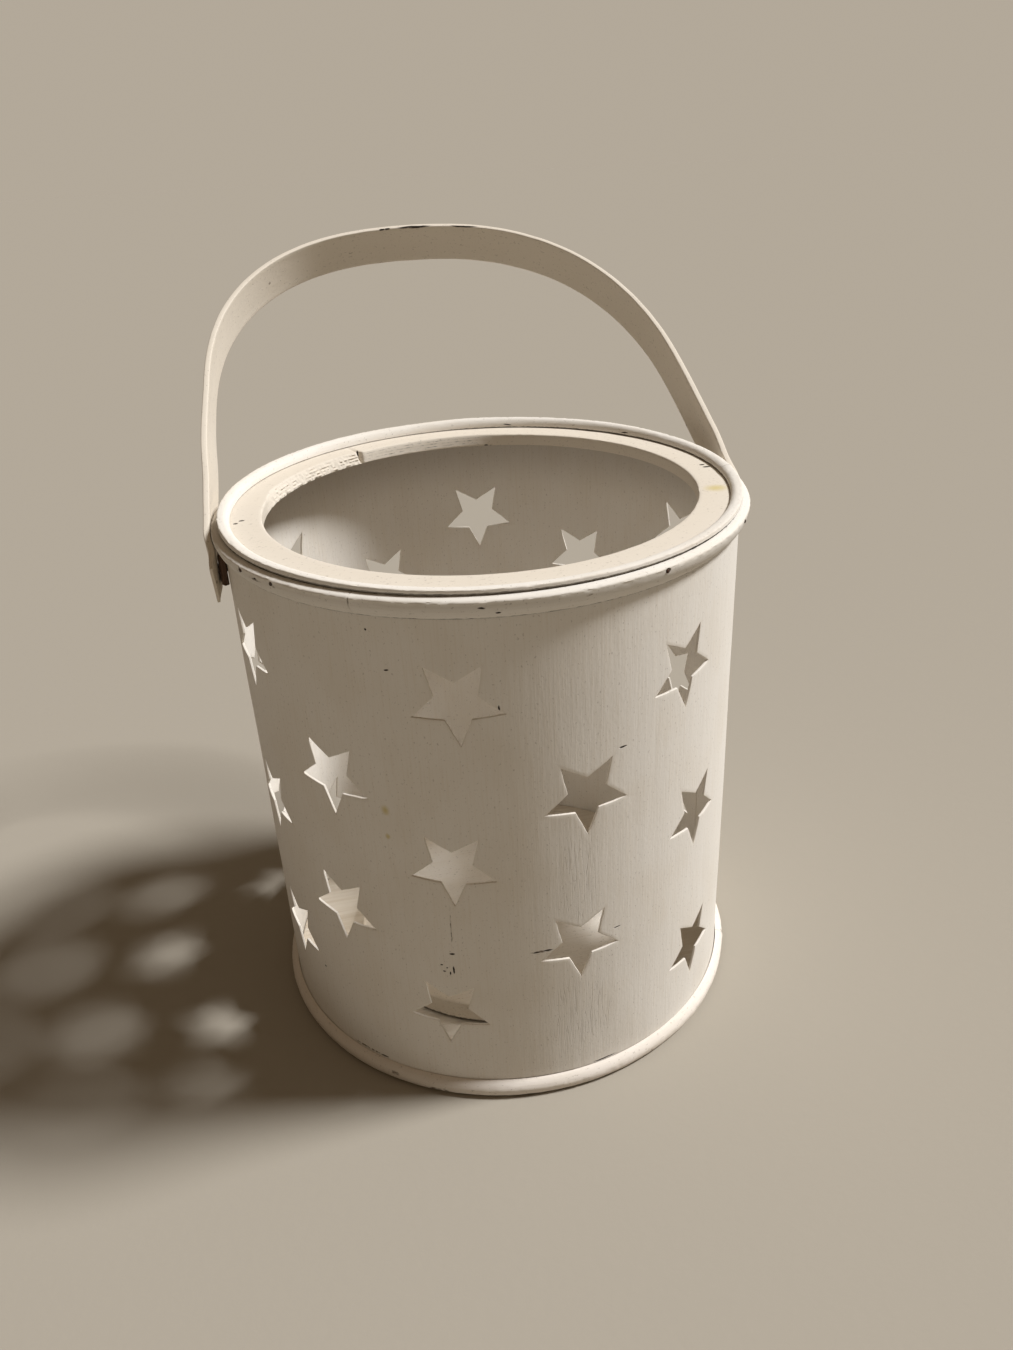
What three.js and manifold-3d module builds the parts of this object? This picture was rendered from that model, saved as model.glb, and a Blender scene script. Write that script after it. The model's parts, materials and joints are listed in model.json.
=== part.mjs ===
// Bentwood star lantern. A rolled veneer wall with star cut-outs stands on a plywood base and is
// closed by a flat top ring and three hoops. A bent wooden strip, hung on two pins,
// is its handle and leans back. Millimetres, +Z up, the origin on the floor at the middle of the
// base, the handle's axis along X and the front at -Y.
import * as THREE from 'three';
import { mergeVertices } from 'three/addons/utils/BufferGeometryUtils.js';
import Module from 'manifold-3d';

const wasm = await Module();
wasm.setup();

// Fits between neighbouring pieces, and how far a cut runs past what it cuts
const CLEARANCE = 0.3;
const BUTT_GAP = 0.5;
const CUT_MARGIN = 1;
const MERGE_DISTANCE = 1e-4;

// Steps round the circle, along the half-round sections and round the small pins
const RING_STEPS = 72;
const SECTION_STEPS = 6;
const PIN_STEPS = 12;
const BRAD_STEPS = 8;

// Wall: one sheet of veneer, rolled and butted behind the right end of the handle
const WALL_RADIUS = 90;
const WALL_THICKNESS = 0.8;
const WALL_HEIGHT = 198;
const WALL_SEAM_TURN = 93;

// Star cut-outs, one point down, on rows that are a pitch apart
const STAR_POINTS = 5;
const STAR_RADIUS = 15;
const STAR_INNER_RADIUS = 6.9;
const STAR_EDGE_MARGIN = 4;
const STAR_FIRST_ROW = 38;
const STAR_ROW_PITCH = 31;
const STAR_SCATTER = 1;

// The stars were marked out by hand, in columns of three and of two by turns. Each has its turn from
// the front in degrees, its row, how many scatters it stands above that row, and its tilt in degrees.
const STARS = [
  [-24, 0, 1, -3], [-20.5, 2, 1.5, -1], [-17, 4, 1, 2],
  [6, 1, -3.5, 0], [8, 3, -6, 0],
  [40.5, 0, -2, -1], [39, 2, -2, 0], [33, 4, -4, 4],
  [72.5, 1, 1, 0], [72.5, 3, -1, 0],
  [107, 0, 0, 0], [107, 2, 0, 0], [107, 4, 0, 0],
  [141, 1, 6, 0], [141, 3, 10, -3],
  [171, 0, -1, 0], [171, 2, -2, 0], [171, 4, -3, -1],
  [199, 1, 3, 0], [199.5, 3, 4.5, -1],
  [231, 0, 0, 0], [231, 2, -3, 0], [231, 4, -5, 0],
  [259.5, 1, 1, 0], [259.5, 3, 0, 0],
  [289.5, 0, 9, -3], [286.5, 2, 3, -3], [287.5, 4, 1, 0],
  [311, 1, 5.5, -2], [313.5, 3, -1, -2],
];

// Flat top ring inside the wall's upper edge
const RING_WIDTH = 12.8;
const RING_THICKNESS = 4.6;

// Hoops: one over the wall's upper edge, slanted on its inner side and lower at the front, one with a
// high ridge round the wall's top and a half-round one round its foot. A ridge is the share of the
// hoop's height where it is widest.
const HOOP_FULLNESS = 2.4;
const CAP_WIDTH = 4;
const CAP_SLANT = 1.4;
const CAP_FRONT_HEIGHT = 1.1;
const CAP_BACK_HEIGHT = 3.4;
const CAP_OVERHANG = 0.8;
const CAP_BUTT_TURN = 84;
const RIM_BELOW_TOP = 0.4;
const RIM_HEIGHT = 7.2;
const RIM_DEPTH = 3;
const RIM_RIDGE = 0.82;
const RIM_BUTT_TURN = -35;
const FOOT_HEIGHT = 6.3;
const FOOT_DEPTH = 2.9;
const FOOT_RIDGE = 0.5;
const FOOT_BUTT_TURN = 68;

// Base: a plywood disc and on it a round plate that a candle stands on
const DISC_THICKNESS = 4;
const PLATE_RADIUS = 61.5;
const PLATE_THICKNESS = 9;

// Brads through the rim hoop and the wall into the top ring
const BRAD_TURNS = [-63.4, -53, 24.6, 55.2, 150, 215];
const BRAD_BELOW_TOP = 2.3;
const BRAD_RADIUS = 0.5;
const BRAD_HEAD_OVERHANG = 0.5;
const BRAD_HEAD_THICKNESS = 0.6;
const BRAD_LENGTH = 9;

// Handle: a bent strip whose legs run straight and then close in a full arch
const STRIP_WIDTH = 16.5;
const STRIP_THICKNESS = 2.2;
const STRIP_TAIL = 8;
const HANDLE_SIDE_GAP = 0.5;
const HANDLE_LENGTH = 191.5;
const HANDLE_LEG = 66;
const HANDLE_FULLNESS = 2.39;
const HANDLE_STEPS = 14;
const HANDLE_LEAN = 64.6;

// Pivots: a wooden spacer on the wall and a headed pin through strip, spacer and wall
const PIVOT_FORWARD = 7.5;
const SPACER_WIDTH = 10;
const SPACER_HEIGHT = 11;
const SPACER_BELOW_RIM = 0.5;
const PIN_RADIUS = 1.5;
const PIN_HEAD_OVERHANG = 1.7;
const PIN_HEAD_THICKNESS = 0.5;
const PIN_HEAD_BEVEL = 0.4;
const PIN_TAIL_OVERHANG = 1.1;
const PIN_TAIL_THICKNESS = 0.8;

// Sizes that follow from the ones above
const WALL_BORE = WALL_RADIUS - WALL_THICKNESS;
const FACET_DIP = Math.cos(Math.PI / RING_STEPS);
const INSIDE_RADIUS = WALL_BORE * FACET_DIP - CLEARANCE;
const OUTSIDE_RADIUS = WALL_RADIUS + CLEARANCE;
const RING_INNER_RADIUS = INSIDE_RADIUS - RING_WIDTH;
const RING_BOTTOM = WALL_HEIGHT - RING_THICKNESS;
const CAP_OUTER_RADIUS = WALL_RADIUS + CAP_OVERHANG;
const CAP_INNER_RADIUS = CAP_OUTER_RADIUS - CAP_WIDTH;
const CAP_BOTTOM = WALL_HEIGHT + CLEARANCE;
const RIM_TOP = WALL_HEIGHT - RIM_BELOW_TOP;
const RIM_BOTTOM = RIM_TOP - RIM_HEIGHT;
const RIM_OUTER_RADIUS = OUTSIDE_RADIUS + RIM_DEPTH;
const WIDEST_RADIUS = OUTSIDE_RADIUS + Math.max(RIM_DEPTH, FOOT_DEPTH);
const STRIP_INNER_X = WIDEST_RADIUS + HANDLE_SIDE_GAP;
const STRIP_OUTER_X = STRIP_INNER_X + STRIP_THICKNESS;
const PIVOT_HEIGHT = RIM_BOTTOM - SPACER_BELOW_RIM - SPACER_HEIGHT / 2;
const PIN_BORE_RADIUS = PIN_RADIUS + CLEARANCE;
const PIN_HEAD_RADIUS = PIN_RADIUS + PIN_HEAD_OVERHANG;
const PIN_TAIL_RADIUS = PIN_RADIUS + PIN_TAIL_OVERHANG;
const PLATE_BOTTOM = DISC_THICKNESS + CLEARANCE;
const PLATE_TOP = PLATE_BOTTOM + PLATE_THICKNESS;
const BRAD_BORE_RADIUS = BRAD_RADIUS + CLEARANCE;
const BRAD_HEAD_RADIUS = BRAD_RADIUS + BRAD_HEAD_OVERHANG;
const BRAD_HEIGHT = WALL_HEIGHT - BRAD_BELOW_TOP;

const radians = THREE.MathUtils.degToRad;

// Painted wood, raw wood and steel
const whitewash = new THREE.MeshStandardMaterial({ color: 0xe6dfd2, roughness: 0.75, metalness: 0 });
const whitewashDark = new THREE.MeshStandardMaterial({ color: 0xdcd4c5, roughness: 0.8, metalness: 0 });
const rawWood = new THREE.MeshStandardMaterial({ color: 0x9a7d57, roughness: 0.85, metalness: 0 });
const darkWood = new THREE.MeshStandardMaterial({ color: 0x4a3626, roughness: 0.85, metalness: 0 });
const steel = new THREE.MeshStandardMaterial({ color: 0x4d4640, roughness: 0.5, metalness: 0.9 });

// Turns a geometry into a solid with its shared vertices merged and its faces pointing out.
function toSolid(geometry) {
  const bare = geometry.clone();
  bare.deleteAttribute('normal');
  bare.deleteAttribute('uv');
  const merged = mergeVertices(bare, MERGE_DISTANCE);
  const points = merged.getAttribute('position');
  const corners = Array.from(merged.index.array);
  const triangles = [];
  for (let i = 0; i < corners.length; i += 3) {
    const [a, b, c] = corners.slice(i, i + 3);
    if (a !== b && b !== c && c !== a) {
      triangles.push(a, b, c);
    }
  }
  if (signedVolume(points, triangles) < 0) {
    triangles.reverse();
  }
  const vertProperties = new Float32Array(points.array);
  const triVerts = new Uint32Array(triangles);
  return new wasm.Manifold(new wasm.Mesh({ numProp: 3, vertProperties, triVerts }));
}

// Six times the volume that the triangles enclose; negative where they face in.
function signedVolume(points, triangles) {
  let total = 0;
  const [a, b, c] = [new THREE.Vector3(), new THREE.Vector3(), new THREE.Vector3()];
  for (let i = 0; i < triangles.length; i += 3) {
    a.fromBufferAttribute(points, triangles[i]);
    b.fromBufferAttribute(points, triangles[i + 1]);
    c.fromBufferAttribute(points, triangles[i + 2]);
    total += a.dot(b.cross(c));
  }
  return total;
}

// Turns a solid back into a mesh with a name.
function toMesh(solid, name, material) {
  const result = solid.getMesh();
  const geometry = new THREE.BufferGeometry();
  geometry.setAttribute('position', new THREE.BufferAttribute(new Float32Array(result.vertProperties), 3));
  geometry.setIndex(new THREE.BufferAttribute(new Uint32Array(result.triVerts), 1));
  geometry.computeVertexNormals();
  const mesh = new THREE.Mesh(geometry, material);
  mesh.name = name;
  return mesh;
}

// A round piece about Z, from [radius, height] points that start and end on the axis.
function turned(outline, steps) {
  const points = outline.map(([radius, height]) => new THREE.Vector2(radius, height));
  const geometry = new THREE.LatheGeometry(points, steps);
  geometry.rotateX(Math.PI / 2);
  return toSolid(geometry);
}

// A ring about Z, from [radius, height] points that are closed here.
function turnedRing(outline) {
  return turned([...outline, outline[0]], RING_STEPS);
}

function flatRing(inner, outer, bottom, thickness) {
  const top = bottom + thickness;
  return turnedRing([[inner, bottom], [outer, bottom], [outer, top], [inner, top]]);
}

// Points over a hoop's rounded side: [place along its width from the middle, rise above its flat side].
function roundedSide(halfWidth, depth) {
  const side = [];
  for (let i = 0; i <= SECTION_STEPS; i += 1) {
    const angle = Math.PI * (i / SECTION_STEPS - 0.5);
    const along = Math.sign(angle) * Math.abs(Math.sin(angle)) ** (2 / HOOP_FULLNESS);
    const across = Math.abs(Math.cos(angle)) ** (2 / HOOP_FULLNESS);
    side.push([halfWidth * along, i === 0 || i === SECTION_STEPS ? 0 : depth * across]);
  }
  return side;
}

// A hoop with its flat side against the wall. The power moves the middle of its side to the ridge.
function wallHoop(bottom, height, depth, ridge) {
  const power = Math.log(ridge) / Math.log(0.5);
  const side = roundedSide(0.5, depth);
  return turnedRing(side.map(([along, across]) => {
    const share = (0.5 + along) ** power;
    return [OUTSIDE_RADIUS + across, bottom + height * share];
  }));
}

// Places a solid at a turn from the front: its X along the wall, its Y up and its Z outward.
function atTurn(solid, degrees, height) {
  const angle = radians(degrees);
  const along = new THREE.Vector3(Math.cos(angle), Math.sin(angle), 0);
  const outward = new THREE.Vector3(Math.sin(angle), -Math.cos(angle), 0);
  const matrix = new THREE.Matrix4().makeBasis(along, new THREE.Vector3(0, 0, 1), outward);
  matrix.setPosition(0, 0, height);
  return solid.transform(matrix.elements);
}

// A box of the given width along the wall and height, from one radius to another.
function radialBox(width, height, innerRadius, outerRadius) {
  const geometry = new THREE.BoxGeometry(width, height, outerRadius - innerRadius);
  geometry.translate(0, 0, (innerRadius + outerRadius) / 2);
  return toSolid(geometry);
}

// The slit where a rolled or bent piece's two ends meet.
function buttSlit(degrees, innerRadius, outerRadius, bottom, top) {
  const height = top - bottom + 2 * CUT_MARGIN;
  const box = radialBox(BUTT_GAP, height, innerRadius - CUT_MARGIN, outerRadius + CUT_MARGIN);
  return atTurn(box, degrees, (bottom + top) / 2);
}

// A round hole along the radius.
function radialHole(radius, innerRadius, outerRadius, degrees, height) {
  const geometry = new THREE.CylinderGeometry(radius, radius, outerRadius - innerRadius, BRAD_STEPS);
  geometry.rotateX(Math.PI / 2);
  geometry.translate(0, 0, (innerRadius + outerRadius) / 2);
  return atTurn(toSolid(geometry), degrees, height);
}

// A round hole along X at the pivots' height, on the given side, from inside the wall to the strip.
function pivotHole(side) {
  const length = STRIP_OUTER_X;
  const geometry = new THREE.CylinderGeometry(PIN_BORE_RADIUS, PIN_BORE_RADIUS, length, PIN_STEPS);
  geometry.rotateZ(Math.PI / 2);
  geometry.translate(side * (STRIP_OUTER_X - length / 2), -PIVOT_FORWARD, PIVOT_HEIGHT);
  return toSolid(geometry);
}

function starPrism(degrees, height, tilt) {
  const shape = new THREE.Shape();
  for (let i = 0; i < 2 * STAR_POINTS; i += 1) {
    const radius = i % 2 === 0 ? STAR_RADIUS : STAR_INNER_RADIUS;
    const angle = radians(tilt) + Math.PI * (i / STAR_POINTS - 0.5);
    const [x, y] = [radius * Math.cos(angle), radius * Math.sin(angle)];
    if (i === 0) {
      shape.moveTo(x, y);
    } else {
      shape.lineTo(x, y);
    }
  }
  shape.closePath();
  const nearest = Math.sqrt(WALL_BORE ** 2 - STAR_RADIUS ** 2) - WALL_THICKNESS;
  const depth = WALL_RADIUS + WALL_THICKNESS - nearest;
  const geometry = new THREE.ExtrudeGeometry(shape, { depth, bevelEnabled: false });
  geometry.translate(0, 0, nearest);
  return atTurn(toSolid(geometry), degrees, height);
}

// Wall with its seam, stars, pivot holes and brad holes
let wall = flatRing(WALL_BORE, WALL_RADIUS, 0, WALL_HEIGHT);
wall = wall.subtract(buttSlit(WALL_SEAM_TURN, WALL_BORE, WALL_RADIUS, 0, WALL_HEIGHT));
for (const [degrees, row, scatter, tilt] of STARS) {
  const height = STAR_FIRST_ROW + row * STAR_ROW_PITCH + scatter * STAR_SCATTER;
  const lowest = height - STAR_RADIUS - STAR_EDGE_MARGIN;
  const highest = height + STAR_RADIUS + STAR_EDGE_MARGIN;
  if (lowest > DISC_THICKNESS && highest < RING_BOTTOM) {
    wall = wall.subtract(starPrism(degrees, height, tilt));
  }
}
for (const side of [-1, 1]) {
  wall = wall.subtract(pivotHole(side));
}

// Top ring and hoops
let topRing = flatRing(RING_INNER_RADIUS, INSIDE_RADIUS, RING_BOTTOM, RING_THICKNESS);
const capBlank = CAP_BOTTOM + CAP_BACK_HEIGHT + CUT_MARGIN;
let cap = turnedRing([[CAP_INNER_RADIUS, CAP_BOTTOM], [CAP_OUTER_RADIUS, CAP_BOTTOM],
  [CAP_OUTER_RADIUS, capBlank], [CAP_INNER_RADIUS + CAP_SLANT, capBlank]]);
const capFall = (CAP_BACK_HEIGHT - CAP_FRONT_HEIGHT) / (2 * CAP_OUTER_RADIUS);
const capMiddle = new THREE.Vector3(0, 0, CAP_BOTTOM + (CAP_BACK_HEIGHT + CAP_FRONT_HEIGHT) / 2);
const intoCap = new THREE.Vector3(0, capFall, -1).normalize();
cap = cap.trimByPlane(intoCap.toArray(), intoCap.dot(capMiddle));
cap = cap.subtract(buttSlit(CAP_BUTT_TURN, CAP_INNER_RADIUS, CAP_OUTER_RADIUS, CAP_BOTTOM, capBlank));
let rim = wallHoop(RIM_BOTTOM, RIM_HEIGHT, RIM_DEPTH, RIM_RIDGE);
rim = rim.subtract(buttSlit(RIM_BUTT_TURN, OUTSIDE_RADIUS, RIM_OUTER_RADIUS, RIM_BOTTOM, RIM_TOP));
let foot = wallHoop(0, FOOT_HEIGHT, FOOT_DEPTH, FOOT_RIDGE);
foot = foot.subtract(buttSlit(FOOT_BUTT_TURN, OUTSIDE_RADIUS, OUTSIDE_RADIUS + FOOT_DEPTH, 0, FOOT_HEIGHT));

// Brads, with their holes through the hoop and the wall and into the ring
const bradSeat = RIM_OUTER_RADIUS + CLEARANCE;
const bradTip = bradSeat - BRAD_LENGTH;
const brads = [];
for (const degrees of BRAD_TURNS) {
  const hole = radialHole(BRAD_BORE_RADIUS, bradTip - CLEARANCE, bradSeat + CUT_MARGIN, degrees,
    BRAD_HEIGHT);
  wall = wall.subtract(hole);
  rim = rim.subtract(hole);
  topRing = topRing.subtract(hole);
  const outline = [[0, bradTip], [BRAD_RADIUS, bradTip], [BRAD_RADIUS, bradSeat],
    [BRAD_HEAD_RADIUS, bradSeat], [BRAD_HEAD_RADIUS, bradSeat + BRAD_HEAD_THICKNESS],
    [0, bradSeat + BRAD_HEAD_THICKNESS]];
  brads.push(atTurn(turned(outline, BRAD_STEPS), degrees, BRAD_HEIGHT));
}

// Base
const discOutline = [[0, 0], [INSIDE_RADIUS, 0], [INSIDE_RADIUS, DISC_THICKNESS], [0, DISC_THICKNESS]];
const disc = turned(discOutline, RING_STEPS);
const plateOutline = [[0, PLATE_BOTTOM], [PLATE_RADIUS, PLATE_BOTTOM],
  [PLATE_RADIUS, PLATE_TOP], [0, PLATE_TOP]];
const plate = turned(plateOutline, RING_STEPS);

// Handle strip: the outer and inner edges of the bent band, extruded across its width
function bandEdge(halfSpan, length) {
  const edge = [];
  for (let i = 0; i <= HANDLE_STEPS * 2; i += 1) {
    const angle = (Math.PI / 2) * (i / HANDLE_STEPS);
    const across = Math.sign(Math.cos(angle)) * Math.abs(Math.cos(angle)) ** (2 / HANDLE_FULLNESS);
    const along = Math.abs(Math.sin(angle)) ** (2 / HANDLE_FULLNESS);
    edge.push([i === HANDLE_STEPS ? 0 : halfSpan * across, HANDLE_LEG + (length - HANDLE_LEG) * along]);
  }
  return [[halfSpan, -STRIP_TAIL], ...edge, [-halfSpan, -STRIP_TAIL]];
}

const outerEdge = bandEdge(STRIP_OUTER_X, HANDLE_LENGTH);
const innerEdge = bandEdge(STRIP_INNER_X, HANDLE_LENGTH - STRIP_THICKNESS).reverse();
const bandShape = new THREE.Shape([...outerEdge, ...innerEdge].map(([x, y]) => new THREE.Vector2(x, y)));
const bandGeometry = new THREE.ExtrudeGeometry(bandShape, { depth: STRIP_WIDTH, bevelEnabled: false });
bandGeometry.translate(0, 0, -STRIP_WIDTH / 2);
const stripHoleGeometry = new THREE.CylinderGeometry(PIN_BORE_RADIUS, PIN_BORE_RADIUS,
  2 * (STRIP_OUTER_X + CUT_MARGIN), PIN_STEPS);
stripHoleGeometry.rotateZ(Math.PI / 2);
const strip = toSolid(bandGeometry).subtract(toSolid(stripHoleGeometry));
const stripMesh = toMesh(strip, 'handle_strip', whitewash);
stripMesh.rotation.x = Math.PI / 2;
const handle = new THREE.Group();
handle.position.set(0, -PIVOT_FORWARD, PIVOT_HEIGHT);
handle.rotation.x = -radians(HANDLE_LEAN);
handle.add(stripMesh);

// Spacers, hollowed to the wall, and pins on both sides
const spacerFace = STRIP_INNER_X - CLEARANCE;
const spacerReach = PIVOT_FORWARD + SPACER_WIDTH / 2;
const spacerBack = Math.sqrt((OUTSIDE_RADIUS * FACET_DIP) ** 2 - spacerReach ** 2) - CUT_MARGIN;
const wallSpaceGeometry = new THREE.CylinderGeometry(OUTSIDE_RADIUS, OUTSIDE_RADIUS, WALL_HEIGHT, RING_STEPS);
wallSpaceGeometry.rotateX(Math.PI / 2);
wallSpaceGeometry.translate(0, 0, WALL_HEIGHT / 2);
const wallSpace = toSolid(wallSpaceGeometry);
const tailReach = PIVOT_FORWARD + PIN_TAIL_RADIUS;
const tailFace = Math.sqrt((WALL_BORE * FACET_DIP) ** 2 - tailReach ** 2) - CLEARANCE;
const headFace = STRIP_OUTER_X + CLEARANCE;
const pinOutline = [[0, tailFace - PIN_TAIL_THICKNESS], [PIN_TAIL_RADIUS, tailFace - PIN_TAIL_THICKNESS],
  [PIN_TAIL_RADIUS, tailFace], [PIN_RADIUS, tailFace], [PIN_RADIUS, headFace], [PIN_HEAD_RADIUS, headFace],
  [PIN_HEAD_RADIUS - PIN_HEAD_BEVEL, headFace + PIN_HEAD_THICKNESS], [0, headFace + PIN_HEAD_THICKNESS]];

const lantern = new THREE.Group();
lantern.add(toMesh(wall, 'wall_sheet', whitewash));
lantern.add(toMesh(topRing, 'top_ring', whitewash));
lantern.add(toMesh(cap, 'cap_hoop', whitewash));
lantern.add(toMesh(rim, 'rim_hoop', whitewash));
lantern.add(toMesh(foot, 'foot_hoop', whitewashDark));
lantern.add(toMesh(disc, 'base_disc', rawWood));
lantern.add(toMesh(plate, 'candle_plate', whitewashDark));
lantern.add(handle);
brads.forEach((brad, i) => lantern.add(toMesh(brad, `rim_brad_${i + 1}`, steel)));

for (const [side, label] of [[-1, 'left'], [1, 'right']]) {
  const block = new THREE.BoxGeometry(spacerFace - spacerBack, SPACER_WIDTH, SPACER_HEIGHT);
  block.translate(side * (spacerFace + spacerBack) / 2, -PIVOT_FORWARD, PIVOT_HEIGHT);
  const spacer = toSolid(block).subtract(wallSpace).subtract(pivotHole(side));
  lantern.add(toMesh(spacer, `handle_spacer_${label}`, darkWood));
  const pin = toMesh(turned(pinOutline, PIN_STEPS), `handle_pin_${label}`, steel);
  pin.position.set(0, -PIVOT_FORWARD, PIVOT_HEIGHT);
  pin.rotation.y = side * Math.PI / 2;
  lantern.add(pin);
}

export default lantern;
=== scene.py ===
"""Looks of a whitewashed bentwood lantern with star cut-outs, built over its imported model."""

import json
import math

import bmesh
import bpy
from bpy.props import FloatProperty, FloatVectorProperty, PointerProperty
from mathutils import Matrix, Vector, noise
from mathutils.geometry import delaunay_2d_cdt


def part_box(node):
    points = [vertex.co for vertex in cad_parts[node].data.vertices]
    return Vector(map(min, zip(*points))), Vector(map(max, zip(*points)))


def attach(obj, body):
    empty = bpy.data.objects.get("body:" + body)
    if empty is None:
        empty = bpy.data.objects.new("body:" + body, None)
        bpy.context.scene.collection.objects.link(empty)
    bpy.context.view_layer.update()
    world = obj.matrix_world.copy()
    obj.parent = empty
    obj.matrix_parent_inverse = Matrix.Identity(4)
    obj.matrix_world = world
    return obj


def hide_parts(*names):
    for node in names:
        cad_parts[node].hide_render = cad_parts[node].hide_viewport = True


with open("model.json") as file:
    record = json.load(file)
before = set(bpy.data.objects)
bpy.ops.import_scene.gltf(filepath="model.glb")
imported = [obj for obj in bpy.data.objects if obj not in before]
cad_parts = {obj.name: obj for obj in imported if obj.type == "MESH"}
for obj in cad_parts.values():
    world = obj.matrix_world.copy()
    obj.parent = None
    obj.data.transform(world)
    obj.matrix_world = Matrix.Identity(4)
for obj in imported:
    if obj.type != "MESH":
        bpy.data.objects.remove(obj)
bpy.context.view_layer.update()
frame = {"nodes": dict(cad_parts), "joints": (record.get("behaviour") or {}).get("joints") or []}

bl_info = {
    "name": "Star lantern",
    "version": (1, 0, 0),
    "blender": (4, 5, 0),
    "location": "View3D > Sidebar > Lantern",
    "description": "Dresses the packed lantern with whitewashed bentwood, plywood and steel",
    "category": "Add Mesh",
}

# Sizes in this file are in millimetres and angles in degrees, and a turn is counted from the front
# towards the right
MM = 0.001
FULL_TURN = 360
HALF_TURN = 180
RIGHT_ANGLE = 90
PIVOT = Vector(frame["joints"][0]["pos_m"]) / MM

# How finely the pieces are drawn
WALL_COLUMN = 2.5
WALL_ROW = 5
STAR_EDGE_STEPS = 4
HOOP_STEPS = 1080
HOOP_SIDE_STEPS = 14
RING_STEPS = 1440
DISC_STEPS = 180
ARCH_STEPS = 240
STRIP_STEP = 2
SPACER_STEPS = 6
PIN_STEPS = 24
ROUND_STEPS = 3
SMOOTH_ANGLE = 50

# Angles of the points along a rounded edge
QUARTER = [math.radians(RIGHT_ANGLE * i / ROUND_STEPS) for i in range(ROUND_STEPS + 1)]

# Slit between the ends of a bent piece
JOINT_GAP = 0.15


def linear(colour):
    """Linear red, green and blue of an sRGB hex colour."""
    parts = [int(colour[i : i + 2], 16) / 255 for i in (0, 2, 4)]
    return tuple(p / 12.92 if p <= 0.04045 else ((p + 0.055) / 1.055) ** 2.4 for p in parts)


def opaque(colour):
    """A colour with full alpha, as sockets take it."""
    return (*colour, 1.0)


def length(name, description, size, least=0):
    """A property that holds a length, given in millimetres."""
    return FloatProperty(
        name=name,
        description=description,
        default=size * MM,
        min=least * MM,
        unit="LENGTH",
    )


def tint(name, description, colour):
    """A property that holds a colour, given as sRGB hex."""
    return FloatVectorProperty(
        name=name,
        description=description,
        default=linear(colour),
        subtype="COLOR",
    )


class LanternSizes(bpy.types.PropertyGroup):
    """Sizes of the handwork"""

    edge_round: length("Veneer edge", "Radius that the sanded edges of wall and stars are rounded to", 0.2)
    star_stray: length("Star stray", "How far the hand-cut edges of the stars stray", 0.22)
    wall_wave: length("Wall wave", "How far the bent veneer waves in and out", 0.25)
    hoop_wave: length("Hoop wave", "How far the hoops swell and thin along their length", 0.22)
    torn_depth: length("Torn edge", "How far the torn inner edge of the top ring is broken back", 2.6)
    strip_round: length("Strip edge", "Radius that the handle's long edges are rounded to", 0.4)
    fibre_width: length("Fibre width", "Width of the wood fibres that show through the wash", 0.7, 0.1)
    fibre_length: length("Fibre length", "Length of the wood fibres that show through the wash", 18, 1)


class LanternColours(bpy.types.PropertyGroup):
    """Colours of the finishes"""

    wash: tint("Wash", "Whitewash where it lies thick", "ece7df")
    thin_wash: tint("Thin wash", "Whitewash where the wood shows through", "dfd5c5")
    foot_wash: tint("Foot wash", "Whitewash of the foot hoop, a little pinker", "ebe3da")
    # The strip wash is a little yellower than the wash, its own tone, and darker, which is painted shade:
    # the top ring's upturned face and the handle take more light than the wall, and the darker colour evens
    # that out
    strip_wash_with_shade: tint("Strip wash", "Whitewash of the handle and the top ring, a little yellower", "e1d8ca")
    bare_wood: tint("Bare wood", "Wood where the wash is rubbed off", "a08a6c")
    # Grime is also the colour of the painted shade below the ring and under the rim hoop
    grime: tint("Grime", "Dirt in cracks and along the hoops", "6e6050")
    # Chip is also the colour of the dirt and painted shade in crevices
    chip: tint("Chip", "Dark wood in chips and holes", "2c231c")
    stain: tint("Stain", "Resin stains that come through the wash", "d0bf80")
    plywood: tint("Plywood", "Raw plywood of the base", "e0d8cb")
    plywood_fibre: tint("Plywood fibre", "Darker fibres of the raw plywood", "d2c7b6")
    spacer: tint("Spacer", "Dark wood of the spacers", "6b5546")
    spacer_fibre: tint("Spacer fibre", "Darkest fibres of the spacers", "3a2a1f")
    steel: tint("Steel", "Dull steel of pins and brads", "4f4943")
    rust: tint("Rust", "Rust on pins and brads", "4a2c1a")
    floor: tint("Floor", "Plain pale floor", "a9a296")


class LanternLight(bpy.types.PropertyGroup):
    """Light of the stage"""

    key: FloatProperty(
        name="Key",
        description="Strength of the soft key light from the right",
        default=3.95,
        min=0,
    )
    softness: FloatProperty(
        name="Softness",
        description="Angle that the key light fills, seen from the lantern",
        default=math.radians(12),
        min=0,
        subtype="ANGLE",
    )
    fill: FloatProperty(
        name="Fill",
        description="Strength of the light from all round and above",
        default=0.1,
        min=0,
    )


def turned(turn, radius, height):
    """The point at a turn, a radius and a height."""
    angle = math.radians(turn)
    return Vector((radius * math.sin(angle), -radius * math.cos(angle), height))


def points_of(node):
    """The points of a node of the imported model."""
    return [v.co / MM for v in frame["nodes"][node].data.vertices]


def box_of(node):
    """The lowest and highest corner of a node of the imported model."""
    return [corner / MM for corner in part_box(node)]


def reach(node):
    """A node's inner and outer radius and its lowest and highest level."""
    points = points_of(node)
    radii = [math.hypot(p.x, p.y) for p in points]
    heights = [p.z for p in points]
    return min(radii), max(radii), min(heights), max(heights)


def wander(place, size, seed=0.0):
    """A smooth value from about -1 to 1 that changes over a length of size."""
    return noise.noise(Vector(place) / size + Vector((seed, seed, seed)))


def swell(value, low, high):
    """0 below low, 1 above high and a smooth rise between, or a fall where high is below low."""
    share = min(max((value - low) / (high - low), 0.0), 1.0)
    return share * share * (3 - 2 * share)


def bump_at(value, middle, width):
    """1 at the middle, falling off smoothly over the width."""
    return math.exp(-(((value - middle) / width) ** 2))


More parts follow.
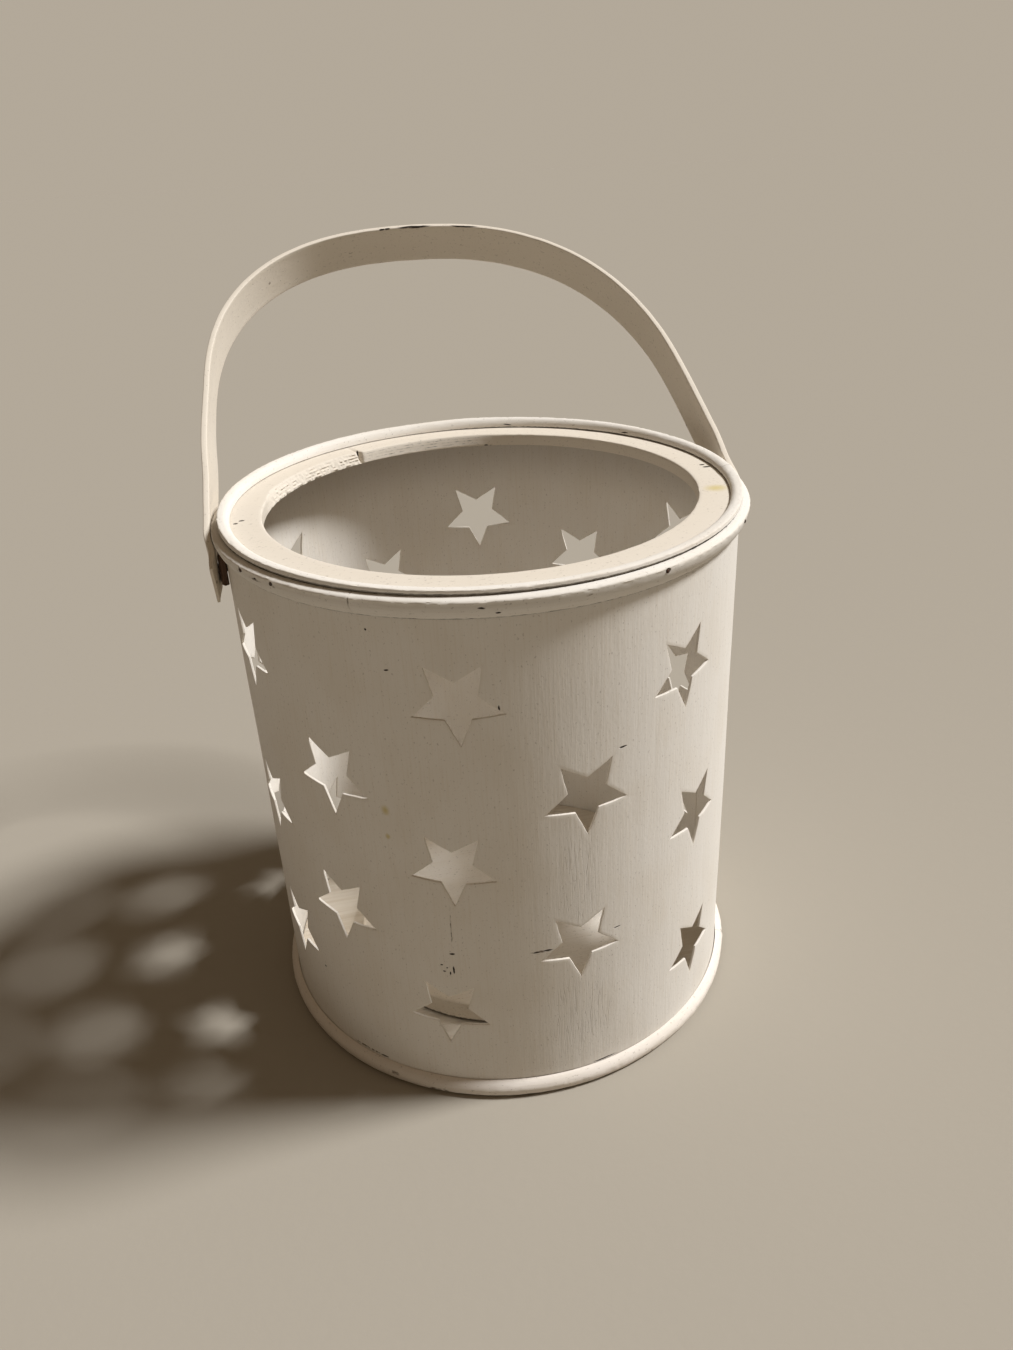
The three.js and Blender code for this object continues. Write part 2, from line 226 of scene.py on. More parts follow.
def fuller(value, fullness):
    """A sine or cosine drawn out to a superellipse, which is an ellipse where the fullness is 2."""
    return math.copysign(abs(value) ** (2 / fullness), value)


def rounded(half_wide, half_high, edge, wide_flats, high_flats=()):
    """A rectangle with rounded corners: place across, place up, and whether it is on a corner.

    The flats are the places of the points on its sides, as shares of their half.
    """
    outline = []
    for wide, high in ((1, 1), (-1, 1), (-1, -1), (1, -1)):
        arc = []
        for angle in QUARTER:
            across = half_wide - edge + edge * math.cos(angle)
            arc.append((wide * across, high * (half_high - edge + edge * math.sin(angle)), True))
        if wide == high:
            outline += arc
            outline += [(wide * half_wide * share, high * half_high, False) for share in wide_flats]
        else:
            outline += reversed(arc)
            outline += [(wide * half_wide, high * half_high * share, False) for share in high_flats]
    return outline


# Length over which a saw strays from its line
SAW_LENGTH = 6


class Shape:
    """Points with their place in the wood, wear, dirt and painted shade, and the faces between them."""

    def __init__(self):
        self.points = []
        self.grain = []
        self.shares = {"wear": [], "dirt_and_shade": [], "painted_shade": []}
        self.faces = []

    def point(self, place, grain, wear=0.0, dirt_and_shade=0.0, painted_shade=0.0):
        """Adds a point and gives its number."""
        self.points.append(place * MM)
        self.grain.append(grain)
        self.shares["wear"].append(wear)
        self.shares["dirt_and_shade"].append(dirt_and_shade)
        self.shares["painted_shade"].append(painted_shade)
        return len(self.points) - 1

    def lathe(self, profile, steps):
        """Rows round the axis, from radius, height, how far the saw strayed, wear, and dirt with painted
        shade.
        """
        widest = max(radius for radius, *_ in profile)
        rows = []
        for radius, height, stray, wear, dirt_and_shade in profile:
            row = []
            for i in range(steps):
                turn = FULL_TURN * i / steps
                saw = stray * wander(turned(turn, widest, 0), SAW_LENGTH)
                spot = turned(turn, radius + saw, height)
                row.append(self.point(spot, tuple(spot), wear, dirt_and_shade))
            rows.append(row)
        return rows

    def skin(self, rows, capped=False, closed=False):
        """Joins rows of points, each closed on itself, and caps the ends or joins the last to the first."""
        pairs = list(zip(rows, rows[1:]))
        if closed:
            pairs.append((rows[-1], rows[0]))
        for low, high in pairs:
            for i, here in enumerate(low):
                j = (i + 1) % len(low)
                self.faces.append((here, low[j], high[j], high[i]))
        if capped:
            self.faces.append(tuple(reversed(rows[0])))
            self.faces.append(tuple(rows[-1]))

    def mesh(self, name):
        """The mesh, with the attributes that the materials read."""
        mesh = bpy.data.meshes.new(name)
        mesh.from_pydata(self.points, [], self.faces)
        grain = mesh.attributes.new("grain", "FLOAT_VECTOR", "POINT")
        grain.data.foreach_set("vector", [c for g in self.grain for c in g])
        for kind, values in self.shares.items():
            share = mesh.attributes.new(kind, "FLOAT", "POINT")
            share.data.foreach_set("value", values)
        work = bmesh.new()
        work.from_mesh(mesh)
        bmesh.ops.recalc_face_normals(work, faces=work.faces)
        work.to_mesh(mesh)
        work.free()
        mesh.polygons.foreach_set("use_smooth", [True] * len(mesh.polygons))
        mesh.set_sharp_from_angle(angle=math.radians(SMOOTH_ANGLE))
        return mesh

    def piece(self, node, body, slot, material):
        """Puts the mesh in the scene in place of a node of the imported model."""
        if not self.faces:
            raise RuntimeError(f"{node} has no faces")
        mesh = self.mesh(node + "_piece")
        mesh.materials.append(material)
        made = bpy.data.objects.new(node + "_piece", mesh)
        bpy.context.scene.collection.objects.link(made)
        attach(made, body)
        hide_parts(node)
        return made


def add(tree, kind, inputs=None, out=0, **settings):
    """Adds a node with its settings, sets each input or links it to a socket, and gives one output."""
    made = tree.nodes.new("ShaderNode" + kind)
    for name, value in settings.items():
        setattr(made, name, value)
    for key, value in (inputs or {}).items():
        if isinstance(value, bpy.types.NodeSocket):
            tree.links.new(value, made.inputs[key])
        else:
            made.inputs[key].default_value = value
    return made.outputs[out] if made.outputs else None


def new_material(name):
    """A material with an empty tree."""
    material = bpy.data.materials.new(name)
    material.use_nodes = True
    material.node_tree.nodes.clear()
    return material, material.node_tree


# Sockets of the Mix node for colours
MIX_SHARE = 0
MIX_FROM = 6
MIX_TO = 7
MIX_RESULT = 2

# Shares of a mark's size where it ends and where it is full
MARK_FADE = (1.1, 0.6)
STAIN_FADE = (1.2, 0.1)

# How far a mark's outline wanders, and over what length
MARK_STRAY = 0.6
MARK_STRAY_LENGTH = 5

# Middle of a noise field, and how far from it a crack ends and is full
FIELD_MIDDLE = 0.5
CRACK_FADE = (0.03, 0.008)

# How far flakes break the edge of dirt and painted shade, how far wear thins the wash, and where in the
# field of flakes a streak of grime starts and is full
DIRT_AND_SHADE_FLAKES = 0.9
WEAR_THINS = 0.9
STREAK_SPAN = (0.38, 0.62)


def whitewash(name, wash, marks=(), see_through=0.25):
    """Whitewash brushed thin and matt on bent beech veneer.

    The eye gets a chalky cream with no gloss, faint fibres along the wood, patches where the brush
    left less, hairline cracks that follow the fibres, dirt that gathers in them, edges rubbed
    down to the wood, and painted shade in crevices, under the rim hoop and below the ring.
    """
    sizes = bpy.context.scene.lantern_sizes
    colours = bpy.context.scene.lantern_colours
    material, tree = new_material(name)
    grain = add(tree, "Attribute", out="Vector", attribute_name="grain")
    wear = add(tree, "Attribute", out="Fac", attribute_name="wear")
    dirt_and_shade = add(tree, "Attribute", out="Fac", attribute_name="dirt_and_shade")
    # Share of painted shade: below the ring on the inner wall and on the rim hoop's lower face
    painted_shade = add(tree, "Attribute", out="Fac", attribute_name="painted_shade")

    # Length along and width across the fibres, and detail, of each pattern
    patterns = {
        "fibre": (sizes.fibre_length / MM, sizes.fibre_width / MM, 3),
        "crack": (26, 1.3, 2),
        "brush": (110, 8, 2),
        "patch": (34, 26, 3),
        "flake": (2.2, 1.3, 3),
        "speck": (1.1, 0.8, 2),
    }
    field = {}
    for pattern, (along, across, detail) in patterns.items():
        scale = (1 / along, 1 / across, 1 / across)
        scaled = add(tree, "VectorMath", {0: grain, 1: scale}, operation="MULTIPLY")
        field[pattern] = add(tree, "TexNoise", {"Vector": scaled, "Scale": 1, "Detail": detail})

    # Marks are drawn on a place that wanders, so that none is a plain oval
    noisy = {"Vector": grain, "Scale": 1 / MARK_STRAY_LENGTH, "Detail": 3}
    stray = {0: add(tree, "TexNoise", noisy, out="Color"), 1: (2 * MARK_STRAY,) * 3, 2: (-MARK_STRAY,) * 3}
    moved = add(tree, "VectorMath", stray, operation="MULTIPLY_ADD")
    place = add(tree, "VectorMath", {0: grain, 1: moved}, operation="ADD")
    spots = {}
    for kind, middle, half in marks:
        away = add(tree, "VectorMath", {0: place, 1: middle}, operation="SUBTRACT")
        scaled = add(tree, "VectorMath", {0: away, 1: half}, operation="DIVIDE")
        distance = add(tree, "VectorMath", {0: scaled}, out="Value", operation="LENGTH")
        end, full = STAIN_FADE if kind == "stain" else MARK_FADE
        fade = {"Value": distance, "From Min": end, "From Max": full}
        spot = add(tree, "MapRange", fade, interpolation_type="SMOOTHSTEP")
        if kind in spots:
            spot = add(tree, "Math", {0: spots[kind], 1: spot}, operation="MAXIMUM")
        spots[kind] = spot

    # Cracks run where a field that is stretched along the fibres crosses its middle
    from_line = add(tree, "Math", {0: field["crack"], 1: FIELD_MIDDLE}, operation="SUBTRACT")
    beside = add(tree, "Math", {0: from_line}, operation="ABSOLUTE")
    end, full = CRACK_FADE
    line = add(tree, "MapRange", {"Value": beside, "From Min": end, "From Max": full})
    crack = add(tree, "Math", {0: line, 1: spots.get("crack", 0.0)}, operation="MULTIPLY")

    # The wash is rubbed off where an edge sticks out and the surface is flaky, and dirt with painted shade
    # sits in the grooves with an edge that is broken where the wash flakes
    flaky = add(tree, "Math", {0: wear, 1: field["flake"]}, operation="MULTIPLY")
    ragged = add(tree, "Math", {0: field["flake"], 1: DIRT_AND_SHADE_FLAKES, 2: dirt_and_shade}, operation="MULTIPLY_ADD")

    # Where each of these starts and where it is full. Specks are pores that the wash did not fill
    spans = {
        "fibre": (field["fibre"], 0.46, 0.72),
        "patch": (field["patch"], 0.4, 0.7),
        "brush": (field["brush"], 0.35, 0.65),
        "speck": (field["speck"], 0.62, 0.74),
        "rubbed": (flaky, 0.6, 0.68),
        "soiled_and_shaded": (ragged, 0.85, 1.25),
    }
    share = {}
    for kind, (value, start, full) in spans.items():
        span = {"Value": value, "From Min": start, "From Max": full}
        share[kind] = add(tree, "MapRange", span, interpolation_type="SMOOTHSTEP")
    thin = add(tree, "Math", {0: share["fibre"], 1: see_through}, operation="MULTIPLY")
    thin = add(tree, "Math", {0: share["patch"], 1: see_through, 2: thin}, operation="MULTIPLY_ADD")
    thin = add(tree, "Math", {0: wear, 1: WEAR_THINS, 2: thin}, operation="MULTIPLY_ADD")

    # Layers from below: where they lie, how strong they are, and their colour
    layers = [
        (thin, 1, colours.thin_wash),
        # Painted shade, in the grime colour
        (painted_shade, 1, colours.grime),
        (share["speck"], 0.3, colours.grime),
        (crack, 0.18, colours.grime),
        (share["rubbed"], 0.75, colours.bare_wood),
        # Dirt and painted shade in crevices, in the chip colour
        (share["soiled_and_shaded"], 0.85, colours.chip),
    ]
    if "stain" in spots:
        layers.append((spots["stain"], 0.8, colours.stain))
    if "grime" in spots:
        start, full = STREAK_SPAN
        broken = add(tree, "MapRange", {"Value": field["flake"], "From Min": start, "From Max": full})
        streak = add(tree, "Math", {0: spots["grime"], 1: broken}, operation="MULTIPLY")
        layers.append((streak, 1, colours.grime))
    if "chip" in spots:
        layers.append((spots["chip"], 1, colours.chip))
    colour = opaque(wash)
    for where, strength, tone in layers:
        cover = add(tree, "Math", {0: where, 1: strength}, operation="MULTIPLY")
        mixed = {MIX_SHARE: cover, MIX_FROM: colour, MIX_TO: opaque(tone)}
        colour = add(tree, "Mix", mixed, out=MIX_RESULT, data_type="RGBA")

    # Relief in millimetres: fibres and brush strokes stand up, cracks and chips go in
    heights = [(field["fibre"], 0.05), (share["brush"], 0.05), (field["flake"], 0.055)]
    heights += [(crack, -0.04), (share["rubbed"], -0.08), (spots.get("chip", 0.0), -0.25)]
    relief = 0.0
    for height, amount in heights:
        relief = add(tree, "Math", {0: height, 1: amount, 2: relief}, operation="MULTIPLY_ADD")
    surface = {
        "Base Color": colour,
        "Roughness": add(tree, "MapRange", {"Value": field["patch"], "To Min": 0.72, "To Max": 0.92}),
        "Specular IOR Level": 0.3,
        "Normal": add(tree, "Bump", {"Height": relief, "Strength": 1.0, "Distance": MM}),
    }
    shader = add(tree, "BsdfPrincipled", surface)
    add(tree, "OutputMaterial", {"Surface": shader})
    return material


def raw_wood(name, light, dark, fibre_length, fibre_width):
    """Sawn wood without a finish.

    The eye gets fibres of two tones that run one way, a few pores, and a dry surface that
    scatters light.
    """
    material, tree = new_material(name)
    grain = add(tree, "Attribute", out="Vector", attribute_name="grain")
    scale = (1 / fibre_length, 1 / fibre_width, 1 / fibre_width)
    scaled = add(tree, "VectorMath", {0: grain, 1: scale}, operation="MULTIPLY")
    fibre = add(tree, "TexNoise", {"Vector": scaled, "Scale": 1, "Detail": 5})
    # Bands of early and late wood are six fibres wide
    band = add(tree, "TexNoise", {"Vector": scaled, "Scale": 1 / 6, "Detail": 2})
    both = add(tree, "Math", {0: band, 1: 0.7, 2: fibre}, operation="MULTIPLY_ADD")
    span = {"Value": both, "From Min": 0.65, "From Max": 1.05}
    share = add(tree, "MapRange", span, interpolation_type="SMOOTHSTEP")
    mixed = {MIX_SHARE: share, MIX_FROM: opaque(light), MIX_TO: opaque(dark)}
    surface = {
        "Base Color": add(tree, "Mix", mixed, out=MIX_RESULT, data_type="RGBA"),
        "Roughness": add(tree, "MapRange", {"Value": fibre, "To Min": 0.75, "To Max": 0.95}),
        "Specular IOR Level": 0.25,
        "Normal": add(tree, "Bump", {"Height": fibre, "Strength": 1.0, "Distance": 0.25 * MM}),
    }
    shader = add(tree, "BsdfPrincipled", surface)
    add(tree, "OutputMaterial", {"Surface": shader})
    return material


def dull_steel(name):
    """Drawn steel gone dull and rusty.

    The eye gets a dark metal with a broad, weak shine and brown patches that have none.
    """
    colours = bpy.context.scene.lantern_colours
    material, tree = new_material(name)
    grain = add(tree, "Attribute", out="Vector", attribute_name="grain")
    # Rust spots are about half a millimetre across
    spots = add(tree, "TexNoise", {"Vector": grain, "Scale": 1 / 0.5, "Detail": 4})
    span = {"Value": spots, "From Min": 0.45, "From Max": 0.58}
    share = add(tree, "MapRange", span, interpolation_type="SMOOTHSTEP")
    mixed = {MIX_SHARE: share, MIX_FROM: opaque(colours.steel), MIX_TO: opaque(colours.rust)}
    surface = {
        "Base Color": add(tree, "Mix", mixed, out=MIX_RESULT, data_type="RGBA"),
        "Metallic": add(tree, "MapRange", {"Value": share, "To Min": 0.9, "To Max": 0.1}),
        "Roughness": add(tree, "MapRange", {"Value": share, "To Min": 0.42, "To Max": 0.85}),
        "Normal": add(tree, "Bump", {"Height": spots, "Strength": 1.0, "Distance": 0.1 * MM}),
    }
    shader = add(tree, "BsdfPrincipled", surface)
    add(tree, "OutputMaterial", {"Surface": shader})
    return material


def floor_paint(name):
    """Matt paint rolled on a smooth screed: even, pale and without shine."""
    material, tree = new_material(name)
    spot = add(tree, "TexCoord", out="Object")
    # Roller texture, drawn at 4 mm so that it shows
    roller = add(tree, "TexNoise", {"Vector": spot, "Scale": 1 / (4 * MM), "Detail": 3})
    surface = {
        "Base Color": opaque(bpy.context.scene.lantern_colours.floor),
        "Roughness": 0.9,
        "Specular IOR Level": 0.0,
        "Normal": add(tree, "Bump", {"Height": roller, "Strength": 0.3, "Distance": 0.2 * MM}),
    }
    shader = add(tree, "BsdfPrincipled", surface)
    add(tree, "OutputMaterial", {"Surface": shader})
    return material


# Least part of a corner's mitre that is kept, so that a sharp corner isn't drawn out to a spike
MITRE_LIMIT = 0.3


def inset(loop, distance):
    """A loop of flat points moved to its left by a distance, with mitred corners."""
    moved = []
    for i, here in enumerate(loop):
        before = (here - loop[i - 1]).normalized()
        after = (loop[(i + 1) % len(loop)] - here).normalized()
        first = Vector((-before.y, before.x))
        second = Vector((-after.y, after.x))
        mitre = (first + second).normalized()
        moved.append(here + mitre * distance / max(mitre.dot(first), MITRE_LIMIT))
    return moved


def inside(spot, loop):
    """Whether a flat point lies inside a loop."""
    found = False
    for i, here in enumerate(loop):
        last = loop[i - 1]
        if (here.y > spot.y) != (last.y > spot.y):
            if spot.x < (last.x - here.x) * (spot.y - here.y) / (last.y - here.y) + here.x:
                found = not found
    return found


# Size of the stars and of the grid that they are set out on
STAR_POINTS = 5
STAR_RADIUS = 15
STAR_INNER_RADIUS = 6.9
STAR_FIRST_ROW = 38
STAR_ROW_PITCH = 31

# Stars, column by column: turn, row, how far above the row, and tilt
STARS = [
    (-24, 0, 1, -3), (-20.5, 2, 1.5, -1), (-17, 4, 1, 2),
    (6, 1, -3.5, 0), (8, 3, -6, 0),
    (40.5, 0, -2, -1), (39, 2, -2, 0), (33, 4, -4, 4),
    (72.5, 1, 1, 0), (72.5, 3, -1, 0),
    (107, 0, 0, 0), (107, 2, 0, 0), (107, 4, 0, 0),
    (141, 1, 6, 0), (141, 3, 10, -3),
    (171, 0, -1, 0), (171, 2, -2, 0), (171, 4, -3, -1),
    (199, 1, 3, 0), (199.5, 3, 4.5, -1),
    (231, 0, 0, 0), (231, 2, -3, 0), (231, 4, -5, 0),
    (259.5, 1, 1, 0), (259.5, 3, 0, 0),
    (289.5, 0, 9, -3), (286.5, 2, 3, -3), (287.5, 4, 1, 0),
    (311, 1, 5.5, -2), (313.5, 3, -1, -2),
]

# How the knife strayed: its spread over the corners and over the edges, and the edges' share of the stray
CORNER_STRAY_SPACING = 7
CORNER_STRAY_LENGTH = 1.7
EDGE_STRAY_LENGTH = 2.3
EDGE_STRAY_SHARE = 0.6


def star_loop(radius, turn, height, tilt, stray):
    """A star's outline on the unrolled wall, wound so that the wood lies to its left."""
    corners = []
    for i in range(2 * STAR_POINTS):
        away = STAR_INNER_RADIUS if i % 2 else STAR_RADIUS
        away += stray * wander((turn, height, CORNER_STRAY_SPACING * i), CORNER_STRAY_LENGTH)
        angle = math.radians(tilt) + math.pi * (i / STAR_POINTS - 0.5)
        corners.append(Vector((away * math.cos(angle), away * math.sin(angle))))
    corners.reverse()
    loop = []
    for i, here in enumerate(corners):
        after = corners[(i + 1) % len(corners)]
        side = Vector((here.y - after.y, after.x - here.x)).normalized()
        for j in range(STAR_EDGE_STEPS):
            spot = here.lerp(after, j / STAR_EDGE_STEPS)
            if j:
                slip = wander((turn + spot.x, height + spot.y, 0), EDGE_STRAY_LENGTH)
                spot += side * stray * EDGE_STRAY_SHARE * slip
            around = math.asin(spot.x / radius) * radius
            loop.append(Vector((math.radians(turn) * radius + around, height + spot.y)))
    return loop


# Where the ends of the wall meet
SEAM_TURN = 93

# Waves of the veneer: length of the long ones, and length, share and seed of the short ones
WALL_WAVE_LENGTH = 60
WALL_RIPPLE_LENGTH = 22
WALL_RIPPLE_SHARE = 0.4
WALL_RIPPLE_SEED = 5

# Width of the hem beside each edge, how many hems the grid keeps off the stars, how many edge radii are
# added to a star's reach, the wear of the edges, and how near points are merged
WALL_HEM = 1.1
GRID_HEMS = 1.6
STAR_EDGES = 3
WALL_EDGE_WEAR = 0.15
MERGE_DISTANCE = 1e-5

# Painted shade on the inner side below the ring, where its overhang shades the wall: its greatest share,
# and the levels that it starts and is full at
RING_SHADE = 0.4
RING_SHADE_RISE = (168, 193)

# Marks on the wall: kind, turn, height, and half of their width and height
WALL_MARK_DEPTH = 2
WALL_MARKS = [
    ("stain", -33.8, 122.2, 1.7, 2.0),
    ("stain", -33.9, 112.0, 1.0, 1.2),
    ("chip", -59.6, 37.1, 0.5, 0.5),
    ("chip", -9.0, 161.1, 0.3, 1.0),
    ("chip", -33.4, 185.8, 0.4, 0.4),
    ("chip", -30.0, 173.2, 0.8, 0.3),
    ("grime", -2.7, 65.4, 4.4, 0.5),
    ("chip", -1.4, 65.6, 1.8, 0.35),
    ("chip", -4.0, 65.2, 1.2, 0.3),
    ("grime", -21.9, 77.0, 0.22, 9.5),
    ("chip", -22.3, 65.7, 1.0, 0.5),
    ("chip", -22.2, 58.5, 0.3, 1.8),
    ("chip", -24.9, 60.2, 0.5, 0.25),
    ("chip", -23.6, 59.3, 0.35, 0.3),
    ("chip", -24.3, 57.7, 0.6, 0.25),
    ("chip", -22.9, 56.9, 0.25, 0.8),
    ("chip", 14.9, 67.3, 1.5, 0.25),
    ("chip", 16.1, 139.3, 1.5, 0.35),
    ("grime", -47.0, 7.2, 8.5, 0.5),
    ("chip", -42.5, 7.0, 2.0, 0.35),
    ("chip", 11.6, 6.9, 5.0, 0.3),
    ("crack", 6.0, 94.0, 8, 22),
    ("crack", 6.0, 34.0, 15, 18),
]


class LANTERN_OT_wall(bpy.types.Operator):
    """Bends the veneer wall with its star cut-outs"""

    bl_idname = "lantern.wall"
    bl_label = "Veneer wall"

    def execute(self, context):
        sizes = context.scene.lantern_sizes
        bore, radius, bottom, top = reach("wall_sheet")
        thickness = radius - bore
        edge = sizes.edge_round / MM
        left = math.radians(SEAM_TURN - FULL_TURN) * radius + JOINT_GAP / 2
        right = math.radians(SEAM_TURN) * radius - JOINT_GAP / 2

        # Outlines on the unrolled wall: the sheet and its stars
        columns = round((right - left) / (math.radians(WALL_COLUMN) * radius))
        rows = round((top - bottom) / WALL_ROW)
        xs = [left + (right - left) * i / columns for i in range(columns + 1)]
        ys = [bottom + (top - bottom) * i / rows for i in range(rows + 1)]
        sheet = [Vector((x, bottom)) for x in xs[:-1]]
        sheet += [Vector((right, y)) for y in ys[:-1]]
        sheet += [Vector((x, top)) for x in reversed(xs[1:])]
        sheet += [Vector((left, y)) for y in reversed(ys[1:])]
        loops = [sheet]
        middles = []
        for turn, row, lift, tilt in STARS:
            turn = turn - FULL_TURN if turn > SEAM_TURN else turn
            height = STAR_FIRST_ROW + STAR_ROW_PITCH * row + lift
            loops.append(star_loop(radius, turn, height, tilt, sizes.star_stray / MM))
            middles.append(Vector((math.radians(turn) * radius, height)))

        # Steps of the rounded edge from the face's hem round to the hem of the other face
        steps = [(edge + WALL_HEM, 0.0, 0.0)]
        steps += [(edge * (1 - math.sin(a)), edge * (1 - math.cos(a)), WALL_EDGE_WEAR) for a in QUARTER]
        steps += [(away, thickness - deep, wear) for away, deep, wear in reversed(steps)]

        shape = Shape()

        def place(spot, deep, wear):
            turn = math.degrees(spot.x / radius)
            flat = turned(turn, radius, spot.y)
            ripple = WALL_RIPPLE_SHARE * wander(flat, WALL_RIPPLE_LENGTH, WALL_RIPPLE_SEED)
            wave = sizes.wall_wave / MM * (wander(flat, WALL_WAVE_LENGTH) + ripple)
            bent = turned(turn, radius - deep + wave, spot.y)
            # Points on the inner face get the painted shade below the ring
            shade_below_ring = RING_SHADE * swell(spot.y, *RING_SHADE_RISE) * (deep > thickness / 2)
            return shape.point(bent, (spot.y, spot.x, deep), wear, painted_shade=shade_below_ring)

        hems = []
        outer_face = []
        inner_face = []
        for loop in loops:
            bands = []
            for away, deep, wear in steps:
                bands.append([place(spot, deep, wear) for spot in inset(loop, away)])
            shape.skin(bands)
            hems.append(inset(loop, edge + WALL_HEM))
            outer_face += bands[0]
            inner_face += bands[-1]

        # Both faces share one triangulation of the sheet between the hems
        flat = [spot for loop in hems for spot in loop]
        bounds = []
        start = 0
        for loop in hems:
            bounds += [(start + i, start + (i + 1) % len(loop)) for i in range(len(loop))]
            start += len(loop)
        clear = STAR_RADIUS + STAR_EDGES * edge + WALL_HEM

        def near_stars(spot):
            return [k for k, middle in enumerate(middles) if (middle - spot).length < clear]

        wide = [inset(loop, edge + GRID_HEMS * WALL_HEM) for loop in loops[1:]]
        for x in xs[1:-1]:
            for y in ys[1:-1]:
                spot = Vector((x, y))
                if any(inside(spot, wide[k]) for k in near_stars(spot)):
                    continue
                flat.append(spot)
                outer_face.append(place(spot, 0.0, 0.0))
                inner_face.append(place(spot, thickness, 0.0))
        spots, _, triangles, sources, *_ = delaunay_2d_cdt(flat, bounds, [], 1, MERGE_DISTANCE)
        for corners in triangles:
            middle = sum((spots[c] for c in corners), Vector((0, 0))) / len(corners)
            if any(inside(middle, hems[k + 1]) for k in near_stars(middle)):
                continue
            numbers = [sources[c][0] for c in corners]
            shape.faces.append(tuple(outer_face[n] for n in numbers))
            shape.faces.append(tuple(inner_face[n] for n in reversed(numbers)))

        marks = []
        for kind, turn, height, wide_by, high_by in WALL_MARKS:
            middle = (height, math.radians(turn) * radius, 0)
            marks.append((kind, middle, (high_by, wide_by, WALL_MARK_DEPTH)))
        material = whitewash("whitewash_on_veneer", context.scene.lantern_colours.wash, marks)
        shape.piece("wall_sheet", "body", "painted_wood", material)
        return {"FINISHED"}


# Inner edge of the ring from the bottom up, clean and torn into its plies: shares of the torn depth and of
# the ring's height below its top
CLEAN_EDGE = [(0, 0.94), (0, 0.76), (0, 0.71), (0, 0.54), (0, 0.49), (0, 0.31), (0, 0.25)]
CLEAN_EDGE += [(0.02, 0.1), (0.1, 0.02), (0.25, 0), (0.6, 0), (1.0, 0)]
TORN_EDGE = [(0, 0.94), (0, 0.78), (0.18, 0.7), (0.18, 0.56), (0.36, 0.47), (0.36, 0.33)]
TORN_EDGE += [(0.58, 0.24), (0.64, 0.12), (0.78, 0.03), (0.9, 0), (1.1, 0), (1.4, 0)]

# Wear of the edge, points of it that lie in the steps between plies, and how much those steps are darkened
# in the stretch that is only rough and in the torn one
RING_EDGE_WEAR = 0.4
PLY_STEPS = (2, 4, 6)
ROUGH_STEP_DARK = 0.56
TORN_STEP_DARK = 0.2

# Turns over which the edge gets rough, turns clean again and gets torn, and the share of the torn slope
# that a rough edge has
ROUGH_START = (158, 172)
ROUGH_END = (262, 246)
TORN_START = (206, 210)
ROUGH_SLOPE = 0.42

# The notch where the tear starts: its turn, width, depth and how far its lip sinks
NOTCH_TURN = 208
NOTCH_WIDTH = 0.5
NOTCH_DEPTH = 2.6
NOTCH_SINK = 0.8

# Coarse and fine fibres of the frayed wood, and the saw's marks: depth, spacing of the edge's points in
# the noise, seed and length. The top frays less, down to a least share
COARSE_FRAY = (0.36, 2.1, 0, 2.2)
FINE_FRAY = (0.288, 1.7, 5, 0.9)
SAW_MARKS = (0.06, 2.0, 9, 2.5)
TOP_FRAY_SHARE = 0.3
TOP_FRAY_RISE = 4

# The rest of the ring's outline: places on the top in from the outer edge, the bevel of the outer edges,
# and how far the underside starts from the inner edge
RING_TOP_POINTS = (3, 1)
RING_BEVEL = 0.4
RING_FOOT = 0.6

# Waves of the ring's top: depth, length, and how far below the top a point still takes part
TOP_WAVE = 0.06
TOP_WAVE_LENGTH = 9
TOP_SLACK = 0.05

# Marks on the ring: kind, turn, radius, level below the top, and half of their length along each axis
RING_MARKS = [
    ("chip", -88.8, 83.0, 0, (1.1, 0.7, 2)),
    ("chip", -87.2, 85.0, 0, (0.9, 0.7, 2)),
    ("chip", 89.6, 84.6, 0, (1.5, 0.9, 2)),
    ("chip", 91.6, 84.0, 0, (1.1, 0.7, 2)),
    ("stain", 72.4, 82.2, 0, (4.8, 4.2, 2)),
    ("chip", 1.7, 85.2, 0, (0.3, 0.3, 2)),
    ("chip", 167, 76.3, 4.4, (1.1, 1.2, 0.7)),
    ("chip", 165.6, 76.3, 4.5, (0.5, 1.2, 0.5)),
    ("chip", 208, 79.2, 0, (0.45, 1.7, 3)),
]


def frayed(along, number, depth, spacing, seed, size):
    """How far the wood strays at a place along the ring, for a numbered point of its edge."""
    return depth * wander((along, spacing * number, seed), size)


